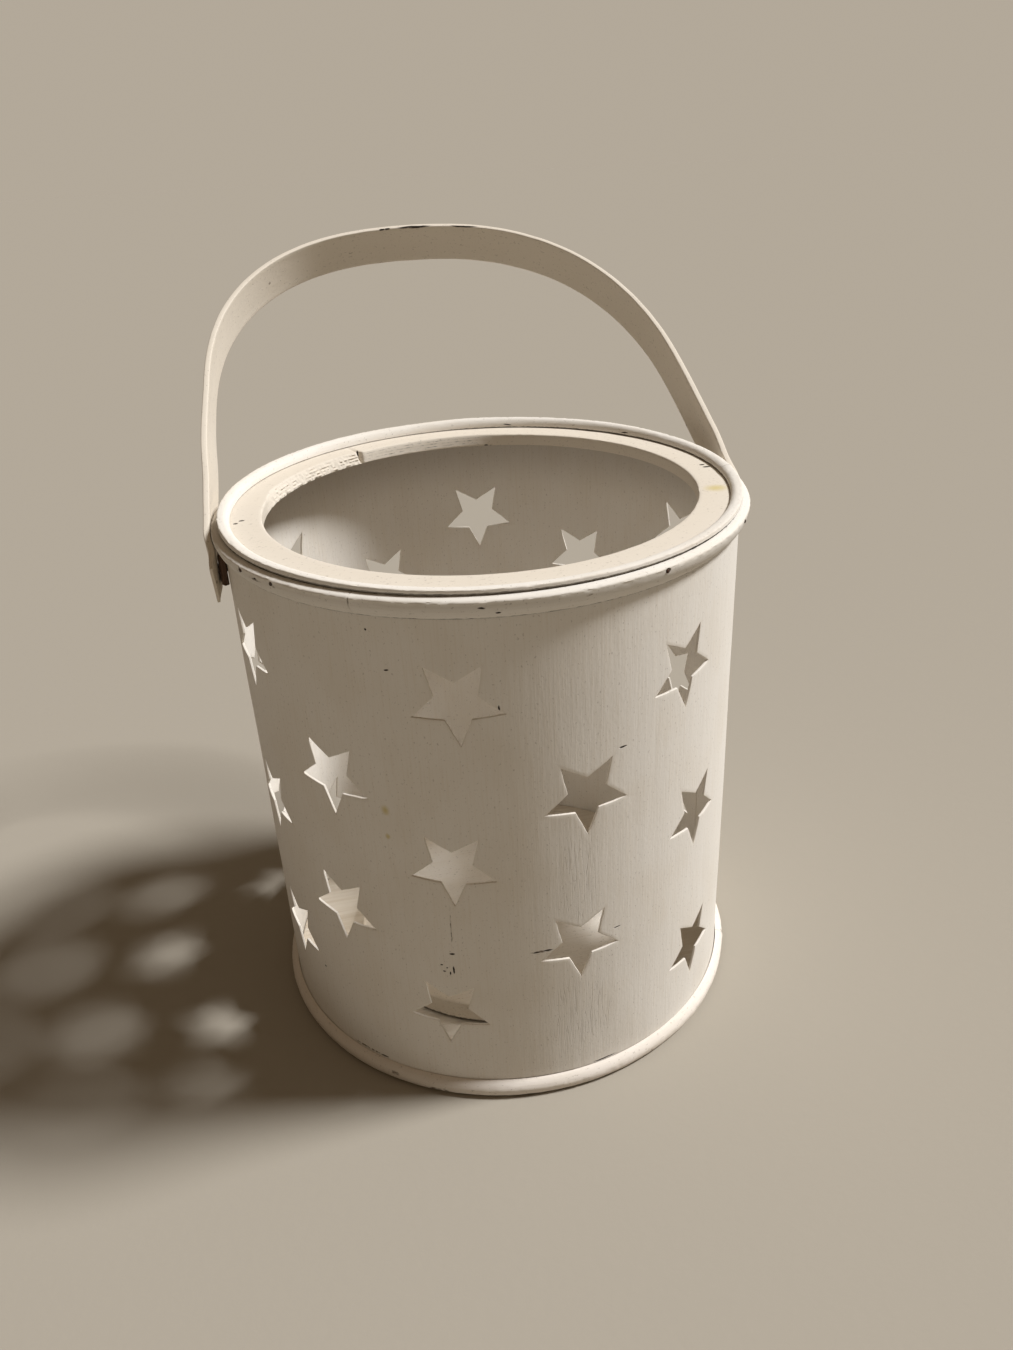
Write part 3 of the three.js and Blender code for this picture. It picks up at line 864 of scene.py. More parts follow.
class LANTERN_OT_top_ring(bpy.types.Operator):
    """Cuts the flat plywood ring of the mouth, with its torn inner edge"""

    bl_idname = "lantern.top_ring"
    bl_label = "Top ring"

    def execute(self, context):
        inner, outer, bottom, top = reach("top_ring")
        torn = context.scene.lantern_sizes.torn_depth / MM
        arc = 2 * math.pi * inner / RING_STEPS
        shape = Shape()
        rows = []
        for i in range(RING_STEPS):
            turn = FULL_TURN * i / RING_STEPS
            along = i * arc
            rough = swell(turn, *ROUGH_START) * swell(turn, *ROUGH_END)
            torn_here = swell(turn, *TORN_START) * rough
            notch = bump_at(turn, NOTCH_TURN, NOTCH_WIDTH)
            slope = rough * (ROUGH_SLOPE + (1 - ROUGH_SLOPE) * torn_here)
            step_dark = (ROUGH_STEP_DARK + (TORN_STEP_DARK - ROUGH_STEP_DARK) * torn_here) * rough
            section = []
            for k, (plain, broken) in enumerate(zip(CLEAN_EDGE, TORN_EDGE)):
                share = plain[0] + (broken[0] - plain[0]) * slope
                level = plain[1] + (broken[1] - plain[1]) * rough
                fray = frayed(along, k, *COARSE_FRAY) + frayed(along, k, *FINE_FRAY)
                ragged = torn_here * fray * min(1.0, TOP_FRAY_RISE * level + TOP_FRAY_SHARE)
                ragged += frayed(along, k, *SAW_MARKS)
                away = share * torn + ragged + NOTCH_DEPTH * notch * (1 - level / 2)
                height = top - level * (top - bottom) - NOTCH_SINK * notch * (1 - level)
                section.append((inner + away, height, plain[0] * RING_EDGE_WEAR, step_dark * (k in PLY_STEPS)))
            section += [(outer - inward, top, 0, 0) for inward in RING_TOP_POINTS]
            section += [(outer, top - RING_BEVEL, 0, 0), (outer, bottom + RING_BEVEL, 0, 0)]
            section += [(outer - RING_BEVEL, bottom, 0, 0), (inner + RING_FOOT, bottom, 0, 0)]
            row = []
            for radius, height, wear, dirt_and_shade in section:
                spot = turned(turn, radius, height)
                if height > top - TOP_SLACK:
                    spot.z += TOP_WAVE * wander(spot, TOP_WAVE_LENGTH)
                row.append(shape.point(spot, tuple(spot), wear, dirt_and_shade))
            rows.append(row)
        shape.skin(rows, closed=True)
        marks = []
        for kind, turn, radius, below, half in RING_MARKS:
            marks.append((kind, tuple(turned(turn, radius, top - below)), half))
        # The ring takes the darker strip wash, painted shade for its upturned face
        material = whitewash("whitewash_on_plywood", context.scene.lantern_colours.strip_wash_with_shade, marks)
        shape.piece("top_ring", "body", "painted_wood", material)
        return {"FINISHED"}


# Where the ends of the hoops meet
CAP_JOINT = 84
RIM_JOINT = -35
FOOT_JOINT = 68

# Painted shade with dirt in the crevice where a hoop meets its neighbour, and wear of its edges
CREVICE_SHADE_AND_DIRT = 0.75
HOOP_EDGE_WEAR = 0.25

# The cap hoop: height at the front, how wide its flat is before its inner side falls, its outer edge as
# places in from the side and below the top, where that edge ends, and the rise over which the painted shade
# and dirt of the crevice fade
CAP_FRONT_HEIGHT = 1.1
CAP_FLAT = 1.5
CAP_EDGE = [(0, 0.35), (0.08, 0.12), (0.3, 0)]
CAP_EDGE_END = 0.8
CAP_SHADE_RISE = 0.25

# Painted shade in the crevice at the foot of the cap hoop's inner slope, deeper on the right where that
# slope
# faces away from the key light: on the left, how much more on the right, the sines of the turn between
# which it grows, and the share of the fall that it starts at
SLOPE_SHADE = 0.45
SLOPE_SHADE_GAIN = 0.4
SLOPE_SHADE_TURN = (-0.3, 0.6)
SLOPE_SHADE_FALL = 0.99

# The rim hoop: share of its height where its ridge is, how far its lower face bulges and the painted shade
# on that downward face, the ridge as places in from the side and above the ridge with their wear, the upper
# face as places in from the side or out from the wall and below the top, and dirt and painted shade at the
# wall
RIM_RIDGE = 0.82
RIM_BULGE = 0.8
RIM_UNDER_SHADE = 0.15
RIM_RIDGE_POINTS = [(0.05, -0.1, 0.15), (0, 0.15, 0.25), (0.1, 0.4, 0.25), (0.35, 0.65, 0.1)]
RIM_TOP_SIDE = (1.1, 0.4)
RIM_TOP_WALL = [(1.1, 0.2, 0), (0.6, 0.1, 0.2), (0, 0, CREVICE_SHADE_AND_DIRT)]

# The foot hoop: fullness of its lower and upper half, its wear, and where on its rise that starts
FOOT_FULLNESS = 2.4
FOOT_TOP_FULLNESS = 1.7
FOOT_WEAR = 0.2
FOOT_WEAR_FROM = 0.9

# Unevenness of the hoops: the lump at the joint and its width, the length of waves, the depth, length and
# spread of dents, and the depth, length, seed and threshold of what is knocked off worn edges
JOINT_LUMP = 0.2
JOINT_LUMP_WIDTH = 1.2
HOOP_WAVE_LENGTH = 26
DENT = 0.1
DENT_LENGTH = 3.2
DENT_SPREAD = 3
KNOCK = 1.4
KNOCK_LENGTH = 1.5
KNOCK_SEED = 4
KNOCK_FROM = 0.1

# Marks on the hoops: kind, turn, their place above the hoop's middle and out from its inner side, and
# half of their length, height and depth
HOOP_MARKS = {
    "cap_hoop": [
        ("chip", 94, (1.6, 2.2), (3.0, 1.0, 0.3)),
        ("chip", 98, (1.6, 2.8), (1.2, 1.0, 0.4)),
        ("chip", 161, (-0.6, 0.3), (2.0, 0.25, 1)),
        ("chip", 126, (-0.8, 0.3), (2.0, 0.25, 1)),
    ],
    "rim_hoop": [
        ("chip", -64.0, (1.8, 2.6), (0.35, 1.2, 1)),
        ("grime", -58.5, (0.9, 2.4), (4.0, 0.6, 1)),
        ("chip", -58.2, (1.3, 2.6), (1.0, 0.3, 1)),
        ("grime", -52.6, (0.9, 2.4), (1.6, 0.5, 1)),
        ("grime", 8.0, (0.9, 2.4), (1.4, 0.4, 1)),
        ("grime", -35, (2.0, 2.4), (0.7, 2.0, 2)),
        ("chip", -11.0, (0.8, 2.5), (1.2, 0.4, 1)),
        ("chip", -8.1, (-1.2, 2.0), (0.9, 0.35, 1)),
        ("grime", -6.4, (1.5, 2.8), (1.1, 0.4, 1)),
        ("chip", 24.6, (1.8, 2.8), (1.2, 0.7, 1)),
    ],
    "foot_hoop": [
        ("grime", -28, (-1.5, 2), (5, 1.0, 3)),
        ("grime", -8, (-2.4, 2), (6, 0.8, 3)),
        ("grime", -39, (0.6, 2), (2.5, 1.0, 3)),
        ("grime", 24, (-1.0, 2), (1.2, 0.5, 3)),
        ("chip", 69, (0.0, 2), (0.5, 2.2, 3)),
    ],
}


def cap_outline(turn, inner, outer, bottom, top):
    """The cap hoop's section: up its outer side, over its sharp edge and down its inner slope."""
    middle = (top - bottom + CAP_FRONT_HEIGHT) / 2
    high = middle - (middle - CAP_FRONT_HEIGHT) * math.cos(math.radians(turn))
    crown = outer - CAP_FLAT
    side = [(outer, 0, 0, CREVICE_SHADE_AND_DIRT), (outer, CAP_SHADE_RISE, 0, CREVICE_SHADE_AND_DIRT / 3)]
    side += [(outer - inward, high - below, HOOP_EDGE_WEAR, 0) for inward, below in CAP_EDGE]
    side.append((outer - CAP_EDGE_END, high, 0, 0))
    # Painted shade at the foot of the inner slope, deeper on the right
    crevice = SLOPE_SHADE + SLOPE_SHADE_GAIN * swell(math.sin(math.radians(turn)), *SLOPE_SHADE_TURN)
    steps = HOOP_SIDE_STEPS // 2
    for k in range(steps + 1):
        angle = math.pi * k / (2 * steps)
        fall = high * (1 - math.cos(angle))
        radius = crown - (crown - inner) * math.sin(angle)
        side.append((radius, high - fall, 0, crevice * (fall > SLOPE_SHADE_FALL * high)))
    return [(radius, bottom + rise, wear, dirt_and_shade) for radius, rise, wear, dirt_and_shade in side]


def rim_outline(turn, inner, outer, bottom, top):
    """The rim hoop's section: a slanting lower face, a ridge and a flat upper face."""
    ridge = bottom + RIM_RIDGE * (top - bottom)
    side = []
    steps = HOOP_SIDE_STEPS // 2
    for k in range(steps):
        share = k / steps
        radius = inner + (outer - inner) * share + RIM_BULGE * math.sin(math.pi * share)
        side.append((radius, bottom + (ridge - bottom) * share, 0, CREVICE_SHADE_AND_DIRT * (k == 0)))
    side += [(outer - inward, ridge + above, wear, 0) for inward, above, wear in RIM_RIDGE_POINTS]
    side.append((outer - RIM_TOP_SIDE[0], top - RIM_TOP_SIDE[1], 0, 0))
    side += [(inner + out, top - below, 0, dirt_and_shade) for out, below, dirt_and_shade in RIM_TOP_WALL]
    return side


def foot_outline(turn, inner, outer, bottom, top):
    """The foot hoop's half-round section."""
    side = []
    for k in range(HOOP_SIDE_STEPS + 1):
        angle = math.pi * k / HOOP_SIDE_STEPS
        fullness = FOOT_TOP_FULLNESS if 2 * k > HOOP_SIDE_STEPS else FOOT_FULLNESS
        across = -fuller(math.cos(angle), fullness)
        rise = fuller(math.sin(angle), fullness)
        height = bottom + (top - bottom) * (1 + across) / 2
        side.append((inner + (outer - inner) * rise, height, FOOT_WEAR * (rise > FOOT_WEAR_FROM), 0))
    return side


class LANTERN_OT_hoops(bpy.types.Operator):
    """Bends the hoops over the wall's upper edge, round its top and round its foot"""

    bl_idname = "lantern.hoops"
    bl_label = "Hoops"

    def execute(self, context):
        wave = context.scene.lantern_sizes.hoop_wave / MM
        colours = context.scene.lantern_colours
        for node, joint, outline, wash, seed in (
            ("cap_hoop", CAP_JOINT, cap_outline, colours.wash, 1),
            ("rim_hoop", RIM_JOINT, rim_outline, colours.wash, 2),
            ("foot_hoop", FOOT_JOINT, foot_outline, colours.foot_wash, 3),
        ):
            inner, outer, bottom, top = reach(node)
            gap = math.degrees(JOINT_GAP / outer) / 2
            shape = Shape()
            rows = []
            for i in range(HOOP_STEPS + 1):
                turn = joint + gap + (FULL_TURN - 2 * gap) * i / HOOP_STEPS
                ring = turned(turn, outer, 0)
                from_joint = (turn - joint + HALF_TURN) % FULL_TURN - HALF_TURN
                lump = JOINT_LUMP * bump_at(from_joint, 0, JOINT_LUMP_WIDTH)
                lump += wave * wander(ring, HOOP_WAVE_LENGTH, seed)
                row = []
                for k, (radius, height, wear, dirt_and_shade) in enumerate(outline(turn, inner, outer, bottom, top)):
                    knock = wander((ring.x, ring.y, k), KNOCK_LENGTH, seed + KNOCK_SEED) - KNOCK_FROM
                    dent = lump + DENT * wander((ring.x, ring.y, DENT_SPREAD * k), DENT_LENGTH, seed)
                    dent -= KNOCK * wear * max(knock, 0)
                    if node == "cap_hoop":
                        spot = turned(turn, radius, height + dent * min(height - bottom, 1))
                    else:
                        spot = turned(turn, radius + dent * min(radius - inner, 1), height)
                    grain = (math.radians(turn) * outer, height - (bottom + top) / 2, radius - inner)
                    # The lower face of the rim hoop faces down and gets painted shade
                    shade_under = RIM_UNDER_SHADE * (node == "rim_hoop" and k < HOOP_SIDE_STEPS // 2)
                    row.append(shape.point(spot, grain, wear, dirt_and_shade, shade_under))
                rows.append(row)
            shape.skin(rows, capped=True)
            marks = []
            for kind, turn, place, half in HOOP_MARKS[node]:
                turn = (turn - joint) % FULL_TURN + joint
                marks.append((kind, (math.radians(turn) * outer, *place), half))
            material = whitewash("whitewash_on_" + node, wash, marks)
            shape.piece(node, "body", "painted_wood", material)
        return {"FINISHED"}


# Fibres of the base's plywood: length and width
PLYWOOD_FIBRE = (38, 1.6)

# Outline of the disc: places in from its edge with their depth below the top or height above the
# bottom, and the radii of the points on its flat
DISC_TOP_EDGE = [(20, 0), (1, 0), (0.3, 0.1), (0, 0.4)]
DISC_FOOT_EDGE = [(0, 0.5), (0.4, 0.1), (1, 0)]
DISC_FLAT = (20, 50)

# Outline of the plate in the same way, with how thin the wash is and the painted shade down its side and
# the painted contact shadow at its foot, and the radius of its flat
PLATE_TOP_EDGE = [(16, 0, 0, 0), (9, 0, 0.3, 0), (4, 0, 0.8, 0), (1.2, 0, 0.95, 0), (0.4, 0.15, 1, 0)]
PLATE_TOP_EDGE += [(0, 0.8, 0.8, 0.3)]
PLATE_FOOT_EDGE = [(0, 1.8, 0.8, 0.35), (0, 0.9, 0.8, 0.9), (0.5, 0, 0.8, 1), (16, 0, 0.8, 1)]
PLATE_FLAT = 12

# How far the saw strayed round the plate, up to how far in from its edge, and how far the wash is thin
PLATE_STRAY = 0.2
PLATE_STRAY_REACH = 5
PLATE_SEE_THROUGH = 0.3


class LANTERN_OT_base(bpy.types.Operator):
    """Cuts the plywood disc of the base and the round plate on it"""

    bl_idname = "lantern.base"
    bl_label = "Base"

    def execute(self, context):
        colours = context.scene.lantern_colours
        _, outer, bottom, top = reach("base_disc")
        profile = [(radius, top, 0, 0, 0) for radius in DISC_FLAT]
        profile += [(outer - inward, top - below, 0, 0, 0) for inward, below in DISC_TOP_EDGE]
        profile += [(outer - inward, bottom + above, 0, 0, 0) for inward, above in DISC_FOOT_EDGE]
        profile += [(radius, bottom, 0, 0, 0) for radius in reversed(DISC_FLAT)]
        shape = Shape()
        shape.skin(shape.lathe(profile, DISC_STEPS), capped=True)
        plywood = raw_wood("raw_plywood", colours.plywood, colours.plywood_fibre, *PLYWOOD_FIBRE)
        shape.piece("base_disc", "body", "raw_wood", plywood)

        _, outer, bottom, top = reach("candle_plate")
        edge = [(inward, top - below, wear, dirt_and_shade) for inward, below, wear, dirt_and_shade in PLATE_TOP_EDGE]
        edge += [(inward, bottom + above, wear, dirt_and_shade) for inward, above, wear, dirt_and_shade in PLATE_FOOT_EDGE]
        profile = [(PLATE_FLAT, top, 0, 0, 0)]
        for inward, height, wear, dirt_and_shade in edge:
            stray = PLATE_STRAY * (inward < PLATE_STRAY_REACH)
            profile.append((outer - inward, height, stray, wear, dirt_and_shade))
        profile.append((PLATE_FLAT, bottom, 0, *edge[-1][2:]))
        shape = Shape()
        shape.skin(shape.lathe(profile, 2 * DISC_STEPS), capped=True)
        plate = whitewash("whitewash_on_plate", colours.wash, see_through=PLATE_SEE_THROUGH)
        shape.piece("candle_plate", "body", "painted_wood", plate)
        return {"FINISHED"}


# Fullness of the handle's arch, and how far the wash on the strip is thin
ARCH_FULLNESS = 2.39
STRIP_SEE_THROUGH = 0.3

# How the handle hangs: how far legs, arch and crown are shifted to the right, each with the heights above
# the pins that it starts and is full at, and how far the legs are pinched together
SHIFTS = [(0.9, 12, 36), (1.0, 45, 90), (-0.5, 90, 150)]
LEG_PINCH = 1.0
LEG_PINCH_RISE = (45, 90)
LEG_PINCH_FALL = (150, 100)

# How far the legs are pinched at the rim, how far the left leg's lower edge is twisted in, each with its
# height above the pins and its width, how far the pins draw the strip in and over what length, and how
# much of the right end is cut off
RIM_PINCH = 0.35
RIM_PINCH_AT = (18, 8)
LEG_TWIST = 1.5
LEG_TWIST_AT = (55, 20)
TAIL_BEND = 1.35
TAIL_BEND_REACH = 5
RIGHT_CUT = 3

# Unevenness of the strip: the heights over which it gets free to warp, the depth and length of its waves,
# how far it is cupped and the part of that its middle takes, and the stray of its edges and their length
FREE_RISE = (12, 40)
STRIP_WAVE = 0.35
STRIP_WAVE_LENGTH = 34
STRIP_CUP = 0.18
CUP_MIDDLE = 0.4
STRIP_STRAY = 0.12
STRIP_STRAY_LENGTH = 7

# Wear of the strip's edges and of its ends, how far from the end that starts and is full, and the width of
# the hem beside an edge
STRIP_EDGE_WEAR = 0.1
END_WEAR = 0.6
END_WEAR_REACH = (16, 4)
STRIP_HEM = 1.2

# How near a coordinate has to be to count as the same, and how near the middle the crown is measured
SAME = 0.01
CROWN_REACH = 1

# Marks on the strip: kind, share of its length from the left, share of its width, place outward from the
# middle of its thickness, and half of their length, width and depth
STRIP_MARKS = [
    ("chip", 0.511, 0.5, -0.9, (8.4, 0.8, 0.6)),
    ("chip", 0.487, 0.5, -0.9, (1.4, 0.7, 0.5)),
    ("chip", 0.482, 0.5, -0.9, (1.6, 0.6, 0.4)),
    ("chip", 0.557, 0.5, -0.95, (7.0, 0.6, 0.4)),
    ("grime", 0.363, 0.0, -1.1, (0.8, 0.6, 1)),
    ("grime", 0.451, -0.05, -1.1, (1.4, 0.8, 1)),
    ("chip", 0.004, -0.02, 0.0, (0.7, 0.9, 2)),
    ("chip", 0.881, -0.5, 0.0, (1.2, 0.8, 2)),
]


class LANTERN_OT_handle(bpy.types.Operator):
    """Bends the strip of the handle"""

    bl_idname = "lantern.handle"
    bl_label = "Handle strip"

    def execute(self, context):
        points = [p - PIVOT for p in points_of("handle_strip")]
        crown = [Vector((0, p.y, p.z)) for p in points if abs(p.x) < CROWN_REACH]
        up = sum(crown, Vector()).normalized()
        across = Vector((1, 0, 0)).cross(up)
        tallest = max(p.dot(up) for p in points)
        tail = -min(p.dot(up) for p in points)
        span = max(p.x for p in points)
        thickness = span - min(abs(p.x) for p in points if p.dot(up) < 0)
        width = 2 * max(p.dot(across) for p in points)
        leg = max(p.dot(up) for p in points if p.x > span - SAME)

        # Middle line of the strip, drawn evenly along its length
        middle = span - thickness / 2
        reach_up = tallest - thickness / 2 - leg
        line = [Vector((-middle, -tail)), Vector((-middle, leg))]
        for i in range(1, ARCH_STEPS):
            angle = math.pi * (1 - i / ARCH_STEPS)
            x = middle * fuller(math.cos(angle), ARCH_FULLNESS)
            line.append(Vector((x, leg + reach_up * fuller(math.sin(angle), ARCH_FULLNESS))))
        line += [Vector((middle, leg)), Vector((middle, RIGHT_CUT - tail))]
        gone = [0.0]
        for here, after in zip(line, line[1:]):
            gone.append(gone[-1] + (after - here).length)
        count = round(gone[-1] / STRIP_STEP)
        even = []
        part = 0
        for i in range(count + 1):
            target = gone[-1] * i / count
            while part < len(line) - 2 and gone[part + 1] < target:
                part += 1
            share = (target - gone[part]) / (gone[part + 1] - gone[part])
            even.append((line[part].lerp(line[part + 1], share), target))

        edge = context.scene.lantern_sizes.strip_round / MM
        hem = 1 - (edge + STRIP_HEM) / (width / 2)
        section = rounded(width / 2, thickness / 2, edge, (hem, 1 / 3, -1 / 3, -hem))
        shape = Shape()
        rows = []
        for i, (spot, along) in enumerate(even):
            before = even[max(i - 1, 0)][0]
            after = even[min(i + 1, count)][0]
            ahead = (after - before).normalized()
            outward = Vector((-ahead.y, ahead.x))
            free = swell(spot.y, *FREE_RISE)
            wave = STRIP_WAVE * free * wander((along, 0, 0), STRIP_WAVE_LENGTH)
            weathered = END_WEAR * swell(min(along, gone[-1] - along), *END_WEAR_REACH)
            shift = sum(amount * swell(spot.y, low, high) for amount, low, high in SHIFTS)
            pinch = LEG_PINCH * swell(spot.y, *LEG_PINCH_RISE) * swell(spot.y, *LEG_PINCH_FALL)
            pinch += RIM_PINCH * bump_at(spot.y, *RIM_PINCH_AT)
            bend = bump_at(spot.y, 0, TAIL_BEND_REACH)
            twist = LEG_TWIST * bump_at(spot.y, *LEG_TWIST_AT) * (spot.x < 0)
            row = []
            for wide_by, out_by, on_edge in section:
                stray = STRIP_STRAY * on_edge * wander((along, wide_by, out_by), STRIP_STRAY_LENGTH)
                cup = STRIP_CUP * free * ((2 * wide_by / width) ** 2 - CUP_MIDDLE)
                flat = spot + outward * (out_by + wave - cup)
                # The tails are thinned from outside, so that they pass the rim when the handle hangs
                thinned = (1 - bend) * (0.5 + out_by / thickness) * (spot.y < 0)
                drawn_in = pinch + TAIL_BEND * (bend + thinned)
                aside = shift + twist * (0.5 - wide_by / width)
                place = PIVOT + Vector((flat.x * (1 - drawn_in / span) + aside, 0, 0)) + up * flat.y
                place += across * (wide_by + stray)
                wear = STRIP_EDGE_WEAR * on_edge + weathered
                row.append(shape.point(place, (along, wide_by, out_by), wear))
            rows.append(row)
        shape.skin(rows, capped=True)
        marks = []
        for kind, share, wide_by, out_by, half in STRIP_MARKS:
            marks.append((kind, (share * gone[-1], wide_by * width, out_by), half))
        wash = context.scene.lantern_colours.strip_wash_with_shade
        material = whitewash("whitewash_on_bent_strip", wash, marks, STRIP_SEE_THROUGH)
        shape.piece("handle_strip", "handle", "painted_wood", material)
        return {"FINISHED"}


# The spacers: share of the width that the split block has, radius of its edges, places of the points on
# its sides, how much its ends shrink, fibres' length and width, and the gap that it keeps from the wall
SPACER_SLIM = 0.66
SPACER_ROUND = 0.7
SPACER_FLATS = (0.6, 0.2, -0.2, -0.6)
SPACER_SHRINK = 0.05
SPACER_FIBRE = (14, 0.9)
SPACER_GAP = 0.3

# Roughness of the split wood: depth, length, share of it that is left along the grain, how it changes
# outward, and how far apart the two spacers lie in it
SPLIT = 0.35
SPLIT_LENGTH = 1.6
SPLIT_ALONG = 0.4
SPLIT_OUTWARD = 3
SPLIT_SPREAD = 5


class LANTERN_OT_spacers(bpy.types.Operator):
    """Splits the rough wooden spacers between the strip and the wall"""

    bl_idname = "lantern.spacers"
    bl_label = "Spacers"

    def execute(self, context):
        colours = context.scene.lantern_colours
        wall = reach("wall_sheet")[1]
        material = raw_wood("split_dark_wood", colours.spacer, colours.spacer_fibre, *SPACER_FIBRE)
        for side, node in ((-1, "handle_spacer_left"), (1, "handle_spacer_right")):
            low, high = box_of(node)
            front = max(abs(low.x), abs(high.x)) - TAIL_BEND
            middle = (low + high) / 2
            half_y = SPACER_SLIM * (high.y - low.y) / 2
            half_z = (high.z - low.z) / 2
            outline = rounded(half_y, half_z, SPACER_ROUND, SPACER_FLATS, SPACER_FLATS)
            shape = Shape()
            rows = []
            for level in range(SPACER_STEPS + 1):
                share = level / SPACER_STEPS
                shrink = 1 - SPACER_SHRINK * (share in (0, 1))
                row = []
                for y, z, _ in outline:
                    split = (side * SPLIT_SPREAD + share * SPLIT_OUTWARD, y, z * SPLIT_ALONG)
                    grow = shrink * (1 + SPLIT * wander(split, SPLIT_LENGTH) / half_y)
                    spot_y = middle.y + y * grow
                    back = math.sqrt((wall + SPACER_GAP) ** 2 - spot_y**2)
                    spot = Vector((side * (back + (front - back) * share), spot_y, middle.z + z * grow))
                    row.append(shape.point(spot, (spot.z, spot.y, spot.x)))
                rows.append(row)
            shape.skin(rows, capped=True)
            shape.piece(node, "body", "dark_wood", material)
        return {"FINISHED"}


# The pins: radius of the shank, the flange inside as place from the inner end and radius, thickness and
# bevel of the head, and its dome as depth below its face and share of its radius
PIN_SHANK = 1.5
PIN_FLANGE = [(0, 1.04), (0, 2.3), (0.25, 2.6), (0.6, 2.6), (0.8, 2.4), (0.8, PIN_SHANK)]
PIN_HEAD = 0.5
PIN_BEVEL = 0.1
PIN_DOME = [(0.42, 1), (0.25, 0.96), (0.12, 0.85), (0.04, 0.62), (0.01, 0.35), (0, 0.1)]

# The brads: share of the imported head's width that the stem's radius has, how much wider than the stem the
# head is, the point as place from the tip and share of the stem, the depth that the stem ends at, and
# the head as depth below the face and share of its radius
BRAD_STEM = 0.25
BRAD_SPREAD = 1.3
BRAD_POINT = [(0, 0.15), (1.4, 1)]
BRAD_NECK = 1.1
BRAD_HEAD = [(1.1, 0.9), (0.9, 1), (0.7, 0.9), (0.6, 0.6), (0.55, 0.15)]

# Hammer marks on the heads: depth on pins and brads, length, and how far from the face they reach
PIN_DENT = 0.12
BRAD_DENT = 0.1
HAMMER_LENGTH = 1.1
HAMMER_REACH = 1.5


def turn_pin(profile, foot, axis, dent):
    """A pin turned from a profile of place along the axis and radius, with a hammered head."""
    shape = Shape()
    side = axis.orthogonal().normalized()
    other = axis.cross(side)
    rows = []
    for along, radius in profile:
        row = []
        for i in range(PIN_STEPS):
            angle = 2 * math.pi * i / PIN_STEPS
            out = side * math.cos(angle) + other * math.sin(angle)
            spot = foot + axis * along + out * radius
            spot += axis * dent * wander(spot, HAMMER_LENGTH) * (along > profile[-1][0] - HAMMER_REACH)
            row.append(shape.point(spot, tuple(spot)))
        rows.append(row)
    shape.skin(rows, capped=True)
    return shape


class LANTERN_OT_steel(bpy.types.Operator):
    """Turns the headed pins of the handle and the brads of the rim hoop"""

    bl_idname = "lantern.steel"
    bl_label = "Pins and brads"

    def execute(self, context):
        material = dull_steel("dull_rusty_steel")
        for side, node in ((-1, "handle_pin_left"), (1, "handle_pin_right")):
            low, high = box_of(node)
            face = max(abs(low.x), abs(high.x)) - TAIL_BEND
            tail = min(abs(low.x), abs(high.x))
            head = (high.z - low.z) / 2
            profile = [(tail + along, radius) for along, radius in PIN_FLANGE]
            profile += [(face - PIN_HEAD, PIN_SHANK), (face - PIN_HEAD, head - PIN_BEVEL)]
            profile += [(face - below, head * share) for below, share in PIN_DOME]
            shape = turn_pin(profile, Vector((0, PIVOT.y, PIVOT.z)), Vector((side, 0, 0)), PIN_DENT)
            shape.piece(node, "body", "steel", material)
        for node in sorted(name for name in frame["nodes"] if name.startswith("rim_brad")):
            points = points_of(node)
            middle = sum(points, Vector()) / len(points)
            outward = Vector((middle.x, middle.y, 0)).normalized()
            face = max(p.dot(outward) for p in points)
            tip = min(p.dot(outward) for p in points)
            low, high = box_of(node)
            stem = BRAD_STEM * (high.z - low.z)
            head = stem * BRAD_SPREAD
            profile = [(tip + along, stem * share) for along, share in BRAD_POINT]
            profile.append((face - BRAD_NECK, stem))
            profile += [(face - below, head * share) for below, share in BRAD_HEAD]
            shape = turn_pin(profile, Vector((0, 0, middle.z)), outward, BRAD_DENT)
            shape.piece(node, "body", "steel", material)
        return {"FINISHED"}


# Radii of the floor's rings, and its level just below the lantern
FLOOR_RINGS = (100, 400, 1500, 8000)
FLOOR_LEVEL = -0.05

# Direction and tints of the light
KEY_TURN = 85.5
KEY_HEIGHT = 50.5
KEY_TINT = "ffffff"
FILL_TINT = "ffe0bb"

# Strength of the fill at the horizon, and how much it gains up to the zenith
FILL_LOW = 0.3
FILL_RISE = 2.0

# Camera of the photo: its place, the directions to the right and up in its picture, its sensor and focal
# length, and the nearest and farthest that it sees
CAMERA_PLACE = (-62.68, -351.89, 313.22)
CAMERA_RIGHT = (0.97531, -0.21575, -0.04706)
CAMERA_UP = (0.14162, 0.44764, 0.88293)
CAMERA_SENSOR = 36
CAMERA_FOCAL = 27.9
CAMERA_NEAR = 10
CAMERA_FAR = 20000


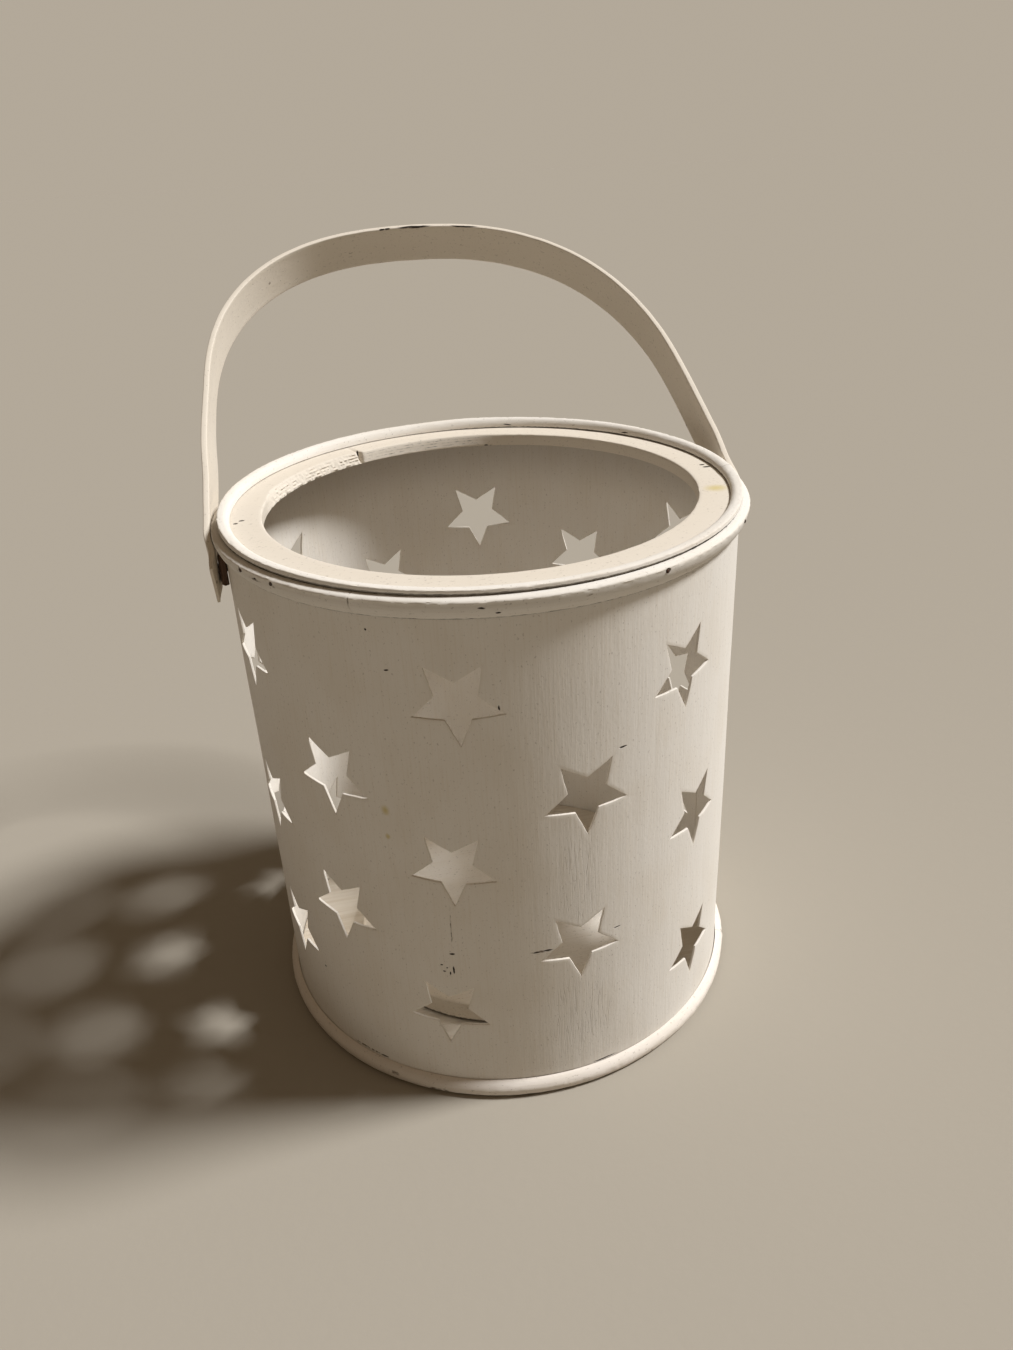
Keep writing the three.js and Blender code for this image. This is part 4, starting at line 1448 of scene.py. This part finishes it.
class LANTERN_OT_stage(bpy.types.Operator):
    """Sets the floor, the light and the camera"""

    bl_idname = "lantern.stage"
    bl_label = "Stage"

    def execute(self, context):
        scene = context.scene
        light = scene.lantern_light
        floor = Shape()
        rows = floor.lathe([(radius, FLOOR_LEVEL, 0, 0, 0) for radius in FLOOR_RINGS], DISC_STEPS)
        floor.skin(rows)
        floor.faces.append(tuple(rows[0]))
        ground = bpy.data.objects.new("floor", floor.mesh("floor"))
        ground.data.materials.append(floor_paint("matt_floor_paint"))
        scene.collection.objects.link(ground)

        key = bpy.data.objects.new("key", bpy.data.lights.new("key", "SUN"))
        key.data.energy = light.key
        key.data.angle = light.softness
        key.data.color = linear(KEY_TINT)
        rise = math.radians(KEY_HEIGHT)
        from_key = turned(KEY_TURN, math.cos(rise), math.sin(rise))
        key.rotation_mode = "QUATERNION"
        key.rotation_quaternion = from_key.to_track_quat("Z", "Y")
        scene.collection.objects.link(key)

        world = bpy.data.worlds.new("studio")
        scene.world = world
        world.use_nodes = True
        tree = world.node_tree
        tree.nodes.clear()
        seen = add(tree, "LightPath", out="Is Camera Ray")
        rays = seen.node.outputs
        for ray in ("Is Glossy Ray", "Is Transmission Ray"):
            seen = add(tree, "Math", {0: seen, 1: rays[ray]}, operation="MAXIMUM")
        sight = add(tree, "TexCoord", out="Generated")
        height = add(tree, "SeparateXYZ", {0: sight}, out="Z")
        horizon = FILL_LOW * light.fill
        zenith = (FILL_LOW + FILL_RISE) * light.fill
        strength = add(tree, "MapRange", {"Value": height, "To Min": horizon, "To Max": zenith})
        fill = add(tree, "Background", {"Color": opaque(linear(FILL_TINT)), "Strength": strength})
        # The backdrop has the tone of the open floor, so that no horizon shows. A sky that brightens evenly
        # towards the zenith gives a level floor two thirds of that gain
        sunk = light.key / math.pi * math.sin(rise)
        spread = light.fill * (FILL_LOW + FILL_RISE * 2 / 3)
        tints = zip(scene.lantern_colours.floor, linear(KEY_TINT), linear(FILL_TINT))
        tone = [shade * (sunk * key_part + spread * fill_part) for shade, key_part, fill_part in tints]
        behind = add(tree, "Background", {"Color": opaque(tone), "Strength": 1.0})
        both = add(tree, "MixShader", {0: seen, 1: fill, 2: behind})
        add(tree, "OutputWorld", {"Surface": both})

        camera = bpy.data.objects.new("camera", bpy.data.cameras.new("camera"))
        camera.data.sensor_width = CAMERA_SENSOR
        camera.data.lens = CAMERA_FOCAL
        camera.data.clip_start = CAMERA_NEAR * MM
        camera.data.clip_end = CAMERA_FAR * MM
        right = Vector(CAMERA_RIGHT).normalized()
        up = Vector(CAMERA_UP).normalized()
        axes = Matrix((right, up, right.cross(up))).transposed()
        camera.matrix_world = Matrix.Translation(Vector(CAMERA_PLACE) * MM) @ axes.to_4x4()
        scene.collection.objects.link(camera)
        scene.camera = camera
        scene.view_settings.view_transform = "Standard"
        return {"FINISHED"}


OPERATORS = (
    LANTERN_OT_wall,
    LANTERN_OT_top_ring,
    LANTERN_OT_hoops,
    LANTERN_OT_base,
    LANTERN_OT_handle,
    LANTERN_OT_spacers,
    LANTERN_OT_steel,
    LANTERN_OT_stage,
)

GROUPS = {
    "lantern_sizes": LanternSizes,
    "lantern_colours": LanternColours,
    "lantern_light": LanternLight,
}


class LANTERN_PT_panel(bpy.types.Panel):
    """Lists the lantern's pieces, sizes and colours"""

    bl_idname = "LANTERN_PT_panel"
    bl_label = "Lantern"
    bl_space_type = "VIEW_3D"
    bl_region_type = "UI"
    bl_category = "Lantern"

    def draw(self, context):
        for operator in OPERATORS:
            self.layout.operator(operator.bl_idname)
        for group_name, group in GROUPS.items():
            for name in group.__annotations__:
                self.layout.prop(getattr(context.scene, group_name), name)


def register():
    """Registers the groups, the operators and the panel."""
    for name, group in GROUPS.items():
        bpy.utils.register_class(group)
        setattr(bpy.types.Scene, name, PointerProperty(type=group))
    for made in (*OPERATORS, LANTERN_PT_panel):
        bpy.utils.register_class(made)


def unregister():
    """Takes back what register did."""
    for made in (LANTERN_PT_panel, *reversed(OPERATORS)):
        bpy.utils.unregister_class(made)
    for name, group in reversed(list(GROUPS.items())):
        delattr(bpy.types.Scene, name)
        bpy.utils.unregister_class(group)


def main():
    """Builds the lantern and its stage."""
    register()
    bpy.ops.lantern.wall()
    bpy.ops.lantern.top_ring()
    bpy.ops.lantern.hoops()
    bpy.ops.lantern.base()
    bpy.ops.lantern.handle()
    bpy.ops.lantern.spacers()
    bpy.ops.lantern.steel()
    bpy.ops.lantern.stage()
    bpy.context.view_layer.update()


if __name__ == "__main__":
    main()
